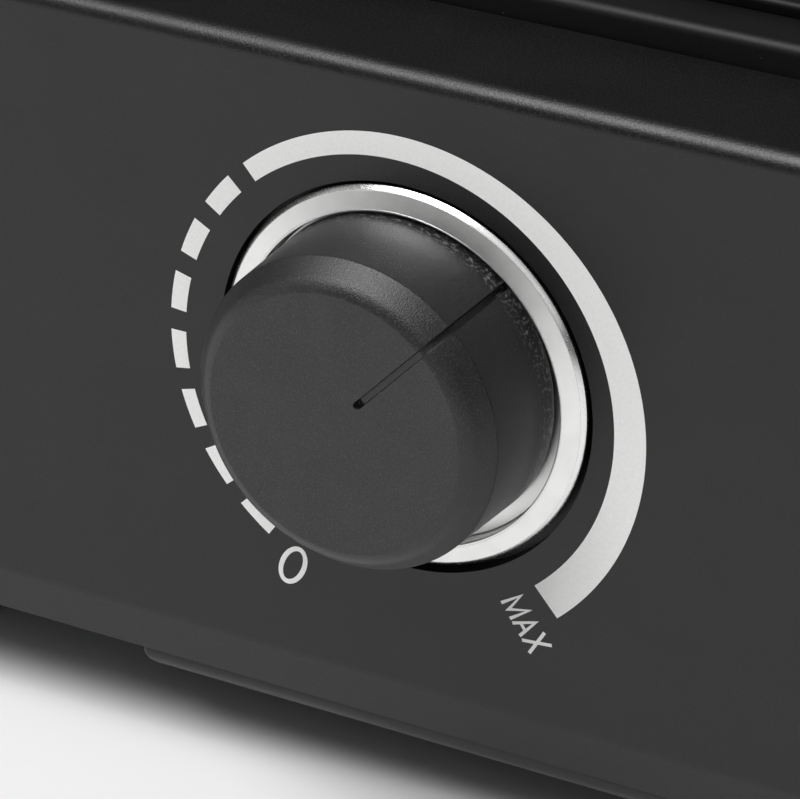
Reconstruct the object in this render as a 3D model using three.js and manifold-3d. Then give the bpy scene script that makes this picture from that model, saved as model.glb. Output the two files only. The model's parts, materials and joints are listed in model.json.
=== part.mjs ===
// Raclette grill for eight: a cast grill plate over a bent tubular heater, with eight small pans
// sliding in under it from both long sides, between two moulded housing ends.
// Millimetres, +Z up. The control end faces -Y and the housing stands on four feet at z = 0.

import * as THREE from 'three';
import { mergeVertices } from 'three/addons/utils/BufferGeometryUtils.js';
import Module from 'manifold-3d';

const wasm = await Module();
wasm.setup();

// Housing
const housingLength = 450;
const housingWidth = 226;
const endDepth = 48;
const lipHeight = 14.5;
const panelHeight = 96.4;
const shellWall = 2.6;
const topEdgeRadius = 2.6;
const cornerRadius = 22;
const ledgeDepth = 22;
const seatDrop = 9.9;
const skirtHeight = 7;
const skirtInset = 1.3;

// Clearances shared by the pieces
const fitGap = 0.3;
const turningGap = 0.6;
const overrun = 10;

// Knob, ring and the pocket that they sit in
const knobDrop = 42.75;
const ringOuterRadius = 27;
const ringInnerRadius = 23.7;
const ringOffCentreAcross = 0.45;
const ringOffCentreDown = 0.65;
const ringRise = 0.95;
const ringBevelWidth = 0.8;
const ringBevelHeight = 0.8;
const ringFlange = 1.2;
const ringSleeveWall = 0.9;
const ringFloorDepth = 1.9;
const ringFloorReach = 2.8;
const pocketGap = 0.8;
const pocketOffCentre = 0.2;
const pocketDepth = 3;
const pocketFloor = 2.2;
const pocketRim = 2.8;
const knobRimRadius = 22;
const knobBaseRadius = 22.5;
const knobReach = 17.1;
const knobFaceRadius = 18.3;
const knobBevelDepth = 3.6;
const knobBevelRoundShare = 0.35;
const knobBaseSink = 1;
const knobWall = 2.4;
const knobBossRadius = 6.5;
const knobBoreDepth = 12;
const slotWidth = 0.86;
const slotDepth = 0.9;
const slotStart = 5.1;
const knobRestAngle = 46;

// Thermostat
const shaftRadius = 3;
const shaftFlat = 0.8;
const shaftSink = 8;
const bracketLength = 76;
const bracketHeight = 18;
const bracketSheet = 1.2;
const bracketScrewSpacing = 66;
const screwRadius = 1.5;
const screwHeadRadius = 3;
const screwHeadHeight = 2;
const screwBite = 3.5;
const screwPillarRadius = 4;
const thermostatWidth = 30;
const thermostatDepth = 18;
const thermostatHeight = 28;
const tabWidth = 6.3;
const tabSheet = 0.8;
const tabLength = 8;
const tabSpacing = 18;

// Bottom covers and feet
const coverSheet = 2.5;
const stripHalfWidth = 42.4;
const stripDrop = 2.5;
const stripSetBack = 2;
const stripDepth = 28;
const footSideInset = 25;
const footInset = 25;
const footRadius = 9;
const footTopRadius = 8.4;
const footEdge = 0.8;
const footStemRadius = 3;
const footBulbRadius = 3.9;
const footBulbHeight = 2.8;

// Sheet steel between the ends
const sheet = 1;
const shieldSheet = 1.2;
const shieldFlange = 6;
const shieldFlangeInset = 5;
const deckHeight = 29;
const deckInset = 3;
const deckUpturn = 12;
const deckDownturn = 12;
const deckHem = 8;
const ridgeWidth = 10;
const ridgeHeight = 8;
const reflectorSheet = 0.8;
const reflectorGap = 1.7;

// Heating element
const elementRadius = 3.5;
const elementPlateGap = 6.5;
const elementRuns = 4;
const elementSpacing = 44;
const elementEndGap = 11.5;
const elementLegEnd = 33;
const bushNeckRadius = 5.5;
const bushFlangeRadius = 7.5;
const bushFlange = 2;
const terminalRadius = 1.5;
const terminalLength = 7;
const crossbarOverhang = 10;
const crossbarHeight = 16;
const crossbarRise = 2;
const postHalfWidth = 4;
const postFootHalfDepth = 6;
const postFootSheet = 1.2;
const elementBracketSheet = 1.5;

// Wiring
const blockWidth = 28;
const blockDepth = 14;
const blockHeight = 17;
const blockSideInset = 43;
const blockInset = 25;
const poleSpacing = 8;
const poleRowInset = 3;
const poleRecessRadius = 1.8;
const poleRecessDepth = 3;
const leadRadius = 1.3;
const leadBend = 8;
const leadLift = 17;
const leadSpread = 28;
const glandHeight = 35;
const glandInset = 31;
const glandNeckRadius = 5.5;
const glandFlangeRadius = 8;
const glandFlange = 2;
const glandBore = 3.5;

// Grill plate
const plateEndGap = 0.5;
const plateRise = 4.1;
const plateCornerRadius = 12;
const plateRimWidth = 4.5;
const plateRimDraft = 1.6;
const plateEdgeRadius = 1.4;
const plateFloorDepth = 11;
const plateFloor = 5;
const plateUndersideInset = 9;
const ribHeight = 2.5;
const ribFoot = 4.4;
const ribTop = 2.4;
const ribPitch = 12;
const ribCount = 20;
const ribMargin = 13;
const ribEndMargin = 17;

// Pans
const pansPerSide = 4;
const panGap = 6;
const panEndGap = 8;
const panRidgeGap = 2;
const panSetBack = 8;
const panHeight = 16;
const panSheet = 1;
const panFloorSheet = 1.2;
const panRim = 2;
const panDraft = 2;
const panCornerRadius = 16;
const panFloorFillet = 2;
const tangWidth = 14;
const tangSheet = 1.2;
const tangLength = 36;
const tangDrop = 2.4;
const tangLegHeight = 8;
const handleStart = 6;
const handleLength = 78;
const handleRise = 8;
const handleRootWidth = 20;
const handleWaistWidth = 16.5;
const handleEndWidth = 25;
const handleRootHeight = 13;
const handleWaistHeight = 11;
const handleEndHeight = 13.5;
const handleSquareness = 3;
const handleWaistShare = 0.4;
const handleEndCapShare = 0.72;

// Fineness of round shapes
const roundSegments = 48;
const smallSegments = 16;
const handleSegments = 12;
const elementSegments = 10;
const leadSegments = 6;
const leadStepsPerPoint = 3;
const filletSteps = 4;
const weldTolerance = 0.0003;

// Heights and faces worked out from the sizes above
const shellTop = lipHeight + panelHeight;
const seatTop = shellTop - seatDrop;
const frontFace = -housingLength / 2;
const endInnerFace = frontFace + endDepth;
const knobAxis = shellTop - knobDrop;
const ringAxis = knobAxis - ringOffCentreDown;
const coverTop = lipHeight + coverSheet;
const pocketBack = pocketDepth + pocketFloor;
const seatUnderside = seatTop - shellWall;
const legX = elementSpacing * (elementRuns - 1) / 2;
const bracketBack = frontFace + pocketBack + fitGap + bracketSheet;
const thermostatFront = bracketBack + fitGap;
const plateTop = shellTop + plateRise;
const plateHalfLength = -(frontFace + ledgeDepth + plateEndGap);
const plateFloorTop = plateTop - plateFloorDepth;
const elementHeight = plateFloorTop - plateFloor - elementPlateGap - elementRadius;
const elementTurnRadius = elementSpacing / 2;
const elementRunHalfLength = -endInnerFace - elementEndGap - elementRadius - elementTurnRadius;
const crossbarHalfLength = legX + crossbarOverhang;
const blockCentreX = blockSideInset - housingWidth / 2;
const panRow = -endInnerFace - panEndGap;
const panWidth = (panRow * 2 - panGap * (pansPerSide - 1)) / pansPerSide;
const panPitch = panWidth + panGap;
const panInnerEdge = ridgeWidth / 2 + panRidgeGap;
const panLength = housingWidth / 2 - panInnerEdge - panSetBack;
const footX = housingWidth / 2 - footSideInset;

const finishes = {
  housing: { color: 0x2b2b2d, roughness: 0.55, metalness: 0 },
  knob: { color: 0x2a2a2b, roughness: 0.5, metalness: 0 },
  satinMetal: { color: 0xc9c9c7, roughness: 0.32, metalness: 1 },
  coatedSteel: { color: 0x1c1c1d, roughness: 0.45, metalness: 0.3 },
  bareSteel: { color: 0x9a9b9c, roughness: 0.4, metalness: 1 },
  castPlate: { color: 0x171718, roughness: 0.5, metalness: 0.3 },
  heater: { color: 0x4a4744, roughness: 0.5, metalness: 0.8 },
  ceramic: { color: 0xe9e5da, roughness: 0.6, metalness: 0 },
  rubber: { color: 0x151515, roughness: 0.85, metalness: 0 },
  lead: { color: 0xb9b4a6, roughness: 0.7, metalness: 0 },
};

const grill = new THREE.Group();

// Turns a three.js geometry into a manifold solid
function solid(geometry) {
  const bare = geometry.clone();
  bare.deleteAttribute('normal');
  bare.deleteAttribute('uv');
  const welded = mergeVertices(bare, weldTolerance);
  return new wasm.Manifold(new wasm.Mesh({
    numProp: 3,
    vertProperties: new Float32Array(welded.attributes.position.array),
    triVerts: new Uint32Array(welded.index.array),
  }));
}

// Turns a manifold solid back into a three.js geometry
function surface(manifold) {
  const mesh = manifold.getMesh();
  const geometry = new THREE.BufferGeometry();
  geometry.setAttribute('position', new THREE.BufferAttribute(mesh.vertProperties, 3));
  geometry.setIndex(new THREE.BufferAttribute(mesh.triVerts, 1));
  return geometry;
}

function addPiece(parent, name, shape, finish) {
  const geometry = shape.isBufferGeometry ? shape : surface(shape);
  geometry.computeVertexNormals();
  const mesh = new THREE.Mesh(geometry, new THREE.MeshStandardMaterial(finish));
  mesh.name = name;
  parent.add(mesh);
  return mesh;
}

// Box between two corners
function box([x0, x1], [y0, y1], [z0, z1]) {
  const geometry = new THREE.BoxGeometry(x1 - x0, y1 - y0, z1 - z0);
  return solid(geometry.translate((x0 + x1) / 2, (y0 + y1) / 2, (z0 + z1) / 2));
}

// Body of revolution about the Z axis from points given as radius and height
function turned(profile, segments) {
  const points = profile.map(([radius, height]) => new THREE.Vector2(radius, height));
  return new THREE.LatheGeometry(points, segments).rotateX(Math.PI / 2);
}

// Cylinder along Y between two places
function cylinderY(radius, x, z, y0, y1, segments = smallSegments) {
  const geometry = new THREE.CylinderGeometry(radius, radius, y1 - y0, segments);
  return solid(geometry.translate(x, (y0 + y1) / 2, z));
}

// Cylinder along Z between two heights
function cylinderZ(radius, x, y, z0, z1, segments = smallSegments) {
  const geometry = new THREE.CylinderGeometry(radius, radius, z1 - z0, segments);
  return solid(geometry.rotateX(Math.PI / 2).translate(x, y, (z0 + z1) / 2));
}

// Closed solid over outlines that all have the same number of points, the first one underneath
function stacked(outlines) {
  const count = outlines[0].length;
  const positions = outlines.flat(2);
  const faces = [];
  for (let level = 0; level < outlines.length - 1; level += 1) {
    for (let i = 0; i < count; i += 1) {
      const next = (i + 1) % count;
      const low = level * count;
      const high = low + count;
      faces.push(low + i, low + next, high + next, low + i, high + next, high + i);
    }
  }
  const last = (outlines.length - 1) * count;
  for (let i = 1; i < count - 1; i += 1) {
    faces.push(0, i + 1, i, last, last + i, last + i + 1);
  }
  const geometry = new THREE.BufferGeometry();
  geometry.setAttribute('position', new THREE.Float32BufferAttribute(positions, 3));
  geometry.setIndex(faces);
  return geometry;
}

// Rounded rectangle about the origin, as points at one height
function roundedRectangle(halfX, halfY, radius, height, steps = filletSteps) {
  const points = [];
  const corners = [[1, 1, 0], [-1, 1, 1], [-1, -1, 2], [1, -1, 3]];
  corners.forEach(([signX, signY, quarter]) => {
    for (let i = 0; i <= steps; i += 1) {
      const angle = (quarter + i / steps) * Math.PI / 2;
      const x = signX * (halfX - radius) + radius * Math.cos(angle);
      const y = signY * (halfY - radius) + radius * Math.sin(angle);
      points.push([x, y, height]);
    }
  });
  return points;
}

// Plan of a housing end: two round front corners and a straight back
function endPlan(inset, backY, height) {
  const halfX = housingWidth / 2 - inset;
  const frontY = frontFace + inset;
  const radius = cornerRadius - inset;
  const steps = filletSteps * 2;
  const points = [[halfX, backY, height], [-halfX, backY, height]];
  [-1, 1].forEach((side) => {
    for (let i = 0; i <= steps; i += 1) {
      const angle = ((side < 0 ? 2 : 3) + i / steps) * Math.PI / 2;
      const x = side * (halfX - radius) + radius * Math.cos(angle);
      const y = frontY + radius + radius * Math.sin(angle);
      points.push([x, y, height]);
    }
  });
  return points;
}

// Moulded end with its ledge and plate seat, before anything is cut into the panel
function endShell() {
  const outlines = [
    endPlan(skirtInset, endInnerFace, lipHeight),
    endPlan(0, endInnerFace, lipHeight + skirtHeight),
  ];
  for (let i = 0; i <= filletSteps; i += 1) {
    const angle = (i / filletSteps) * Math.PI / 2;
    const inset = topEdgeRadius * (1 - Math.cos(angle));
    const height = shellTop - topEdgeRadius * (1 - Math.sin(angle));
    outlines.push(endPlan(inset, endInnerFace, height));
  }
  const outer = solid(stacked(outlines));
  const behind = endInnerFace + overrun;
  const reach = housingWidth / 2 + overrun;
  const above = shellTop + overrun;
  const room = solid(stacked([
    endPlan(shellWall, behind, lipHeight - overrun),
    endPlan(shellWall, behind, shellTop - shellWall),
  ]));
  const underSeat = box(
    [-reach, reach], [frontFace + ledgeDepth - shellWall, behind + overrun], [seatUnderside, above],
  );
  const seat = box([-reach, reach], [frontFace + ledgeDepth, behind], [seatTop, above]);
  return outer.subtract(room.subtract(underSeat)).subtract(seat);
}

function controlEndShell() {
  const inside = frontFace + shellWall - fitGap;
  const back = frontFace + pocketBack;
  const pocketRadius = ringOuterRadius + pocketGap;
  const pocketX = ringOffCentreAcross + pocketOffCentre;
  const pocketZ = ringAxis - pocketOffCentre;
  let shell = endShell();
  shell = shell.add(cylinderY(
    pocketRadius + pocketRim, pocketX, pocketZ, inside, back, roundSegments,
  ));
  [-1, 1].forEach((side) => {
    const x = side * bracketScrewSpacing / 2;
    shell = shell.add(cylinderY(screwPillarRadius, x, knobAxis, inside, back));
    const holeFront = bracketBack - bracketSheet - screwBite - fitGap * 2;
    shell = shell.subtract(cylinderY(screwRadius + fitGap, x, knobAxis, holeFront, back + overrun));
  });
  const pocketFront = frontFace - overrun;
  shell = shell.subtract(cylinderY(
    pocketRadius, pocketX, pocketZ, pocketFront, frontFace + pocketDepth, roundSegments,
  ));
  shell = shell.subtract(
    cylinderY(shaftRadius + turningGap, 0, knobAxis, frontFace, back + overrun),
  );
  const outside = -housingWidth / 2 - overrun;
  const hole = new THREE.CylinderGeometry(
    glandNeckRadius + fitGap, glandNeckRadius + fitGap, overrun * 2, smallSegments,
  );
  hole.rotateZ(Math.PI / 2).translate(outside + overrun, frontFace + glandInset, glandHeight);
  return shell.subtract(solid(hole));
}

// Flat cover inside the lip, with a strip that shows under the lip in the middle
function bottomCover() {
  const inset = shellWall + fitGap;
  const back = endInnerFace - shieldSheet - fitGap;
  const stripBottom = lipHeight - stripDrop;
  const stripTop = lipHeight - fitGap;
  const stripFront = frontFace + stripSetBack;
  const stripBack = stripFront + stripDepth;
  const strip = (low, high, front) => box(
    [-stripHalfWidth, stripHalfWidth], [front, stripBack], [low, high],
  );
  let cover = solid(stacked([endPlan(inset, back, lipHeight), endPlan(inset, back, coverTop)]));
  cover = cover.add(strip(stripBottom, stripTop, stripFront));
  cover = cover.add(strip(stripBottom, coverTop - fitGap, frontFace + inset + fitGap));
  [-1, 1].forEach((side) => {
    const hole = cylinderZ(
      footStemRadius + fitGap, side * footX, frontFace + footInset, 0, coverTop + overrun,
    );
    cover = cover.subtract(hole);
  });
  return cover;
}

function foot() {
  const top = lipHeight - fitGap;
  const bulb = coverTop + fitGap;
  return turned([
    [0, 0],
    [footRadius - footEdge, 0],
    [footRadius, footEdge],
    [footTopRadius, top],
    [footStemRadius, top],
    [footStemRadius, bulb],
    [footBulbRadius, bulb + fitGap],
    [footStemRadius - footEdge, bulb + footBulbHeight],
    [0, bulb + footBulbHeight],
  ], smallSegments);
}

// Steel wall that closes a housing end on its inner side
function heatShield(hasLegHoles) {
  const halfX = housingWidth / 2 - shellWall - fitGap;
  const bottom = coverTop + fitGap;
  const top = seatUnderside - fitGap;
  const front = endInnerFace - shieldSheet;
  let shield = box([-halfX, halfX], [front, endInnerFace], [bottom, top]);
  [-1, 1].forEach((side) => {
    const faces = [side * halfX, side * (halfX - shieldSheet)].sort((a, b) => a - b);
    shield = shield.add(box(
      faces,
      [front - shieldFlange, front + shieldSheet / 2],
      [bottom + shieldFlangeInset, top - shieldFlangeInset],
    ));
    if (hasLegHoles) {
      shield = shield.subtract(cylinderY(
        bushNeckRadius + fitGap, side * legX, elementHeight, front - overrun, endInnerFace + overrun,
      ));
    }
  });
  return shield;
}

// Folded sheet deck with a hollow ridge down the middle
function panDeck() {
  const halfX = housingWidth / 2 - deckInset;
  const halfY = -endInnerFace - fitGap;
  const under = deckHeight - sheet;
  const bottom = deckHeight - deckDownturn;
  const half = ridgeWidth / 2;
  let deck = box([-halfX, halfX], [-halfY, halfY], [under, deckHeight]);
  [-1, 1].forEach((side) => {
    const ends = [side * halfY, side * (halfY - sheet)].sort((a, b) => a - b);
    const flange = [side * halfX, side * (halfX - sheet)].sort((a, b) => a - b);
    const hem = [side * halfX, side * (halfX - deckHem)].sort((a, b) => a - b);
    deck = deck.add(box([-halfX, halfX], ends, [under, deckHeight + deckUpturn]));
    deck = deck.add(box(flange, [-halfY, halfY], [bottom, deckHeight]));
    deck = deck.add(box(hem, [-halfY, halfY], [bottom, bottom + sheet]));
  });
  const ridgeTop = deckHeight + ridgeHeight;
  deck = deck.add(box([-half, half], [-halfY, halfY], [under, ridgeTop]));
  return deck.subtract(box(
    [-half + sheet, half - sheet], [-halfY + sheet, halfY - sheet], [bottom, ridgeTop - sheet],
  ));
}

function bottomReflector() {
  const halfX = housingWidth / 2 - deckInset - sheet - fitGap;
  const halfY = -endInnerFace - reflectorGap;
  const bottom = deckHeight - deckDownturn + sheet + fitGap;
  return box([-halfX, halfX], [-halfY, halfY], [bottom, bottom + reflectorSheet]);
}

// Path through chosen points, stepped from point to point
class PointPath extends THREE.Curve {
  constructor(points) {
    super();
    this.points = points;
  }

  getPoint(share, target = new THREE.Vector3()) {
    const place = Math.min(Math.max(share, 0), 1) * (this.points.length - 1);
    const index = Math.min(Math.floor(place), this.points.length - 2);
    return target.lerpVectors(this.points[index], this.points[index + 1], place - index);
  }

  getUtoTmapping(share) {
    return share;
  }
}

function tube(path, radius, sides, steps) {
  const section = new THREE.Shape();
  for (let i = 0; i < sides; i += 1) {
    const angle = (i / sides) * Math.PI * 2;
    const point = [radius * Math.cos(angle), radius * Math.sin(angle)];
    if (i === 0) section.moveTo(...point);
    else section.lineTo(...point);
  }
  section.closePath();
  return new THREE.ExtrudeGeometry(section, { steps, extrudePath: path, bevelEnabled: false });
}

// Four runs joined by three half turns, both legs passing into the control end
function heatingElement() {
  const legEnd = frontFace + elementLegEnd;
  const runs = Array.from({ length: elementRuns }, (_, i) => i * elementSpacing - legX);
  const points = [new THREE.Vector3(runs[0], legEnd, elementHeight)];
  const steps = filletSteps * 2;
  runs.slice(0, -1).forEach((x, index) => {
    const away = index % 2 === 0 ? 1 : -1;
    for (let i = 0; i <= steps; i += 1) {
      const angle = (i / steps) * Math.PI;
      points.push(new THREE.Vector3(
        x + elementTurnRadius - elementTurnRadius * Math.cos(angle),
        away * (elementRunHalfLength + elementTurnRadius * Math.sin(angle)),
        elementHeight,
      ));
    }
  });
  points.push(new THREE.Vector3(runs[runs.length - 1], legEnd, elementHeight));
  return tube(new PointPath(points), elementRadius, elementSegments, points.length - 1);
}

// Notched crossbar on a post that stands on the deck's ridge
function elementBracket() {
  const foot = deckHeight + ridgeHeight + fitGap;
  const top = elementHeight + crossbarRise;
  const bottom = top - crossbarHeight;
  const notch = elementRadius + fitGap;
  const outline = new THREE.Shape();
  outline.moveTo(-postHalfWidth, foot);
  outline.lineTo(postHalfWidth, foot);
  outline.lineTo(postHalfWidth, bottom);
  outline.lineTo(crossbarHalfLength, bottom);
  outline.lineTo(crossbarHalfLength, top);
  for (let run = 0; run < elementRuns; run += 1) {
    const x = legX - run * elementSpacing;
    outline.lineTo(x + notch, top);
    for (let i = 0; i <= filletSteps * 2; i += 1) {
      const angle = (i / (filletSteps * 2)) * Math.PI;
      outline.lineTo(x + notch * Math.cos(angle), elementHeight - notch * Math.sin(angle));
    }
    outline.lineTo(x - notch, top);
  }
  outline.lineTo(-crossbarHalfLength, top);
  outline.lineTo(-crossbarHalfLength, bottom);
  outline.lineTo(-postHalfWidth, bottom);
  outline.closePath();
  const plate = new THREE.ExtrudeGeometry(outline, { depth: elementBracketSheet, bevelEnabled: false });
  plate.rotateX(Math.PI / 2).translate(0, elementBracketSheet / 2, 0);
  return solid(plate).add(box(
    [-postHalfWidth, postHalfWidth],
    [-postFootHalfDepth, postFootHalfDepth],
    [foot, foot + postFootSheet],
  ));
}

// Grooved bush along Y, for a tube through the heat shield
function elementBush() {
  const bore = elementRadius + fitGap;
  const half = shieldSheet / 2 + fitGap;
  const end = half + bushFlange;
  return turned([
    [bore, -end],
    [bushFlangeRadius, -end],
    [bushFlangeRadius, -half],
    [bushNeckRadius, -half],
    [bushNeckRadius, half],
    [bushFlangeRadius, half],
    [bushFlangeRadius, end],
    [bore, end],
    [bore, -end],
  ], smallSegments).rotateX(Math.PI / 2);
}

// Stud with a flat tab, pointing to the panel from the end of the heater's leg
function elementTerminal() {
  const half = tabWidth / 2;
  const stud = cylinderY(terminalRadius, 0, 0, -terminalLength, 0);
  const tab = box(
    [-half, half],
    [-terminalLength - tabLength, -terminalLength + tabSheet],
    [-tabSheet / 2, tabSheet / 2],
  );
  return stud.add(tab);
}

function thermostatBracket() {
  const front = bracketBack - bracketSheet;
  const halfX = bracketLength / 2;
  const halfZ = bracketHeight / 2;
  let bracket = box([-halfX, halfX], [front, bracketBack], [knobAxis - halfZ, knobAxis + halfZ]);
  bracket = bracket.subtract(
    cylinderY(shaftRadius + turningGap, 0, knobAxis, front - overrun, bracketBack + overrun),
  );
  [-1, 1].forEach((side) => {
    const x = side * bracketScrewSpacing / 2;
    bracket = bracket.subtract(cylinderY(
      screwRadius + fitGap, x, knobAxis, front - overrun, bracketBack + overrun,
    ));
  });
  return bracket;
}

function thermostatScrew() {
  const bite = bracketSheet + fitGap * 2 + screwBite;
  return turned([
    [0, -screwHeadHeight],
    [screwHeadRadius, -screwHeadHeight],
    [screwHeadRadius, 0],
    [screwRadius, 0],
    [screwRadius, bite - screwRadius],
    [0, bite],
  ], smallSegments).rotateX(Math.PI / 2);
}

function thermostatBody() {
  const halfX = thermostatWidth / 2;
  const halfZ = thermostatHeight / 2;
  const back = thermostatFront + thermostatDepth;
  const middle = thermostatFront + thermostatDepth / 2;
  let body = box([-halfX, halfX], [thermostatFront, back], [knobAxis - halfZ, knobAxis + halfZ]);
  [-1, 1].forEach((side) => {
    const x = side * tabSpacing / 2;
    body = body.add(box(
      [x - tabWidth / 2, x + tabWidth / 2],
      [middle - tabSheet / 2, middle + tabSheet / 2],
      [knobAxis + halfZ - tabSheet, knobAxis + halfZ + tabLength],
    ));
  });
  const bore = cylinderY(
    shaftRadius + fitGap, 0, knobAxis, thermostatFront - overrun, thermostatFront + shaftSink,
  );
  return body.subtract(bore);
}

// Shaft with one flat, along Y from inside the thermostat to inside the knob
function thermostatShaft() {
  const back = thermostatFront + shaftSink - fitGap;
  const front = frontFace - knobBoreDepth + fitGap;
  const rod = cylinderY(shaftRadius, 0, knobAxis, front, back);
  const flatTop = knobAxis + shaftRadius - shaftFlat;
  return rod.subtract(box(
    [-shaftRadius - overrun, shaftRadius + overrun],
    [front - overrun, frontFace],
    [flatTop, flatTop + overrun],
  ));
}

// Knob about its own axis, which is Z here, with the panel's face at zero
function knob() {
  const inner = knobBaseRadius - knobWall;
  const roof = knobReach - knobWall;
  const bore = shaftRadius + fitGap;
  const bevelFoot = knobReach - knobBevelDepth;
  const bevel = [];
  for (let i = 0; i <= filletSteps; i += 1) {
    const angle = (i / filletSteps) * Math.PI / 2;
    const straight = i / filletSteps;
    const round = knobBevelRoundShare;
    const alongRadius = (1 - round) * straight + round * (1 - Math.cos(angle));
    const alongReach = (1 - round) * straight + round * Math.sin(angle);
    bevel.push([
      knobRimRadius + (knobFaceRadius - knobRimRadius) * alongRadius,
      bevelFoot + knobBevelDepth * alongReach,
    ]);
  }
  const body = turned([
    [0, knobBoreDepth],
    [bore, knobBoreDepth],
    [bore, 0],
    [knobBossRadius, 0],
    [knobBossRadius, roof],
    [inner, roof],
    [inner, -knobBaseSink],
    [knobBaseRadius, -knobBaseSink],
    ...bevel,
    [0, knobReach],
  ], roundSegments);
  const far = knobRimRadius + overrun;
  const slot = new THREE.Shape();
  slot.moveTo(slotStart, knobReach - slotDepth);
  slot.lineTo(knobFaceRadius - slotDepth / 2, knobReach - slotDepth);
  slot.lineTo(knobRimRadius - slotDepth, bevelFoot - slotDepth / 2);
  slot.lineTo(knobBaseRadius - slotDepth, -knobBaseSink - overrun);
  slot.lineTo(far, -knobBaseSink - overrun);
  slot.lineTo(far, knobReach + overrun);
  slot.lineTo(slotStart, knobReach + overrun);
  slot.closePath();
  const cutter = new THREE.ExtrudeGeometry(slot, { depth: slotWidth, bevelEnabled: false });
  cutter.translate(0, 0, -slotWidth / 2).rotateX(Math.PI / 2);
  return solid(body).subtract(solid(cutter));
}

// Ring about its own axis, with the panel's face at zero: a flange over a sleeve, whose floor
// reaches in under the knob
function knobRing() {
  const bevelInner = ringOuterRadius - ringBevelWidth;
  const under = ringRise - ringFlange;
  const foot = fitGap - pocketDepth;
  const sleeve = ringInnerRadius + ringSleeveWall;
  const floorInner = ringInnerRadius - ringFloorReach;
  return turned([
    [floorInner, foot],
    [sleeve, foot],
    [sleeve, under],
    [ringOuterRadius, under],
    [ringOuterRadius, ringRise - ringBevelHeight],
    [bevelInner, ringRise],
    [ringInnerRadius, ringRise],
    [ringInnerRadius, -ringFloorDepth],
    [floorInner, -ringFloorDepth],
    [floorInner, foot],
  ], roundSegments);
}

// Three-pole block with a recess over each pole
function terminalBlock() {
  const bottom = coverTop + fitGap;
  const top = bottom + blockHeight;
  const centreY = frontFace + blockInset;
  let block = box(
    [blockCentreX - blockWidth / 2, blockCentreX + blockWidth / 2],
    [centreY - blockDepth / 2, centreY + blockDepth / 2],
    [bottom, top],
  );
  [-1, 0, 1].forEach((pole) => {
    [-1, 1].forEach((row) => {
      const x = blockCentreX + pole * poleSpacing;
      const y = centreY + row * (blockDepth / 2 - poleRowInset);
      block = block.subtract(cylinderZ(
        poleRecessRadius, x, y, top - poleRecessDepth, top + overrun,
      ));
    });
  });
  return block;
}

function cordGland() {
  const halfWall = shellWall / 2 + fitGap;
  const end = halfWall + glandFlange;
  const shape = turned([
    [glandBore, -end],
    [glandFlangeRadius, -end],
    [glandFlangeRadius, -halfWall],
    [glandNeckRadius, -halfWall],
    [glandNeckRadius, halfWall],
    [glandFlangeRadius, halfWall],
    [glandFlangeRadius, end],
    [glandBore, end],
    [glandBore, -end],
  ], smallSegments);
  return shape.rotateY(-Math.PI / 2);
}

function lead(points) {
  const path = new THREE.CatmullRomCurve3(points.map((point) => new THREE.Vector3(...point)));
  return tube(path, leadRadius, leadSegments, points.length * leadStepsPerPoint);
}

// Cast plate with a raised rim, a drain channel and cooking ribs over its control half
function grillPlate() {
  const halfX = housingWidth / 2;
  const bottom = seatTop + fitGap;
  const outlines = [
    roundedRectangle(halfX - plateEdgeRadius, plateHalfLength - plateEdgeRadius, plateCornerRadius, bottom),
  ];
  for (let i = 0; i <= filletSteps; i += 1) {
    const angle = (i / filletSteps) * Math.PI / 2;
    const inset = plateEdgeRadius * (1 - Math.cos(angle));
    const height = plateTop - plateEdgeRadius * (1 - Math.sin(angle));
    outlines.push(roundedRectangle(
      halfX - inset, plateHalfLength - inset, plateCornerRadius - inset, height,
    ));
  }
  let plate = solid(stacked(outlines));
  const basin = (inset, height) => roundedRectangle(
    halfX - inset, plateHalfLength - inset, plateCornerRadius - plateRimWidth / 2, height,
  );
  plate = plate.subtract(solid(stacked([
    basin(plateRimWidth + plateRimDraft, plateFloorTop),
    basin(plateRimWidth, plateTop),
    basin(plateRimWidth, plateTop + overrun),
  ])));
  const underHalfX = halfX - plateUndersideInset;
  const underHalfY = -endInnerFace - plateUndersideInset / 2;
  const floorBottom = plateFloorTop - plateFloor;
  plate = plate.add(box(
    [-underHalfX, underHalfX], [-underHalfY, underHalfY], [floorBottom, bottom + fitGap],
  ));
  const ribHalf = halfX - plateRimWidth - ribMargin;
  const firstRib = -plateHalfLength + plateRimWidth + ribEndMargin;
  const rib = new THREE.Shape();
  rib.moveTo(-ribFoot / 2, plateFloorTop - fitGap);
  rib.lineTo(ribFoot / 2, plateFloorTop - fitGap);
  rib.lineTo(ribTop / 2, plateFloorTop + ribHeight);
  rib.lineTo(-ribTop / 2, plateFloorTop + ribHeight);
  rib.closePath();
  for (let i = 0; i < ribCount; i += 1) {
    const bar = new THREE.ExtrudeGeometry(rib, { depth: ribHalf * 2, bevelEnabled: false });
    bar.rotateX(Math.PI / 2).rotateZ(Math.PI / 2).translate(-ribHalf, firstRib + i * ribPitch, 0);
    plate = plate.add(solid(bar));
  }
  return plate;
}

// Small tray: up the outside, over the rim and down the inside, about its own centre
function pan() {
  const halfX = panLength / 2;
  const halfY = panWidth / 2;
  const level = (inset, height) => roundedRectangle(
    halfX - inset, halfY - inset, panCornerRadius - inset, height,
  );
  const wallTop = panHeight - panSheet;
  const rim = panRim + panDraft;
  return stacked([
    level(rim + panFloorFillet, 0),
    level(rim, panFloorFillet),
    level(panRim, wallTop),
    level(0, wallTop),
    level(0, panHeight),
    level(panRim + panSheet, panHeight),
    level(rim + panSheet, panFloorSheet + panFloorFillet),
    level(rim + panFloorFillet + panSheet, panFloorSheet),
  ]);
}

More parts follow.
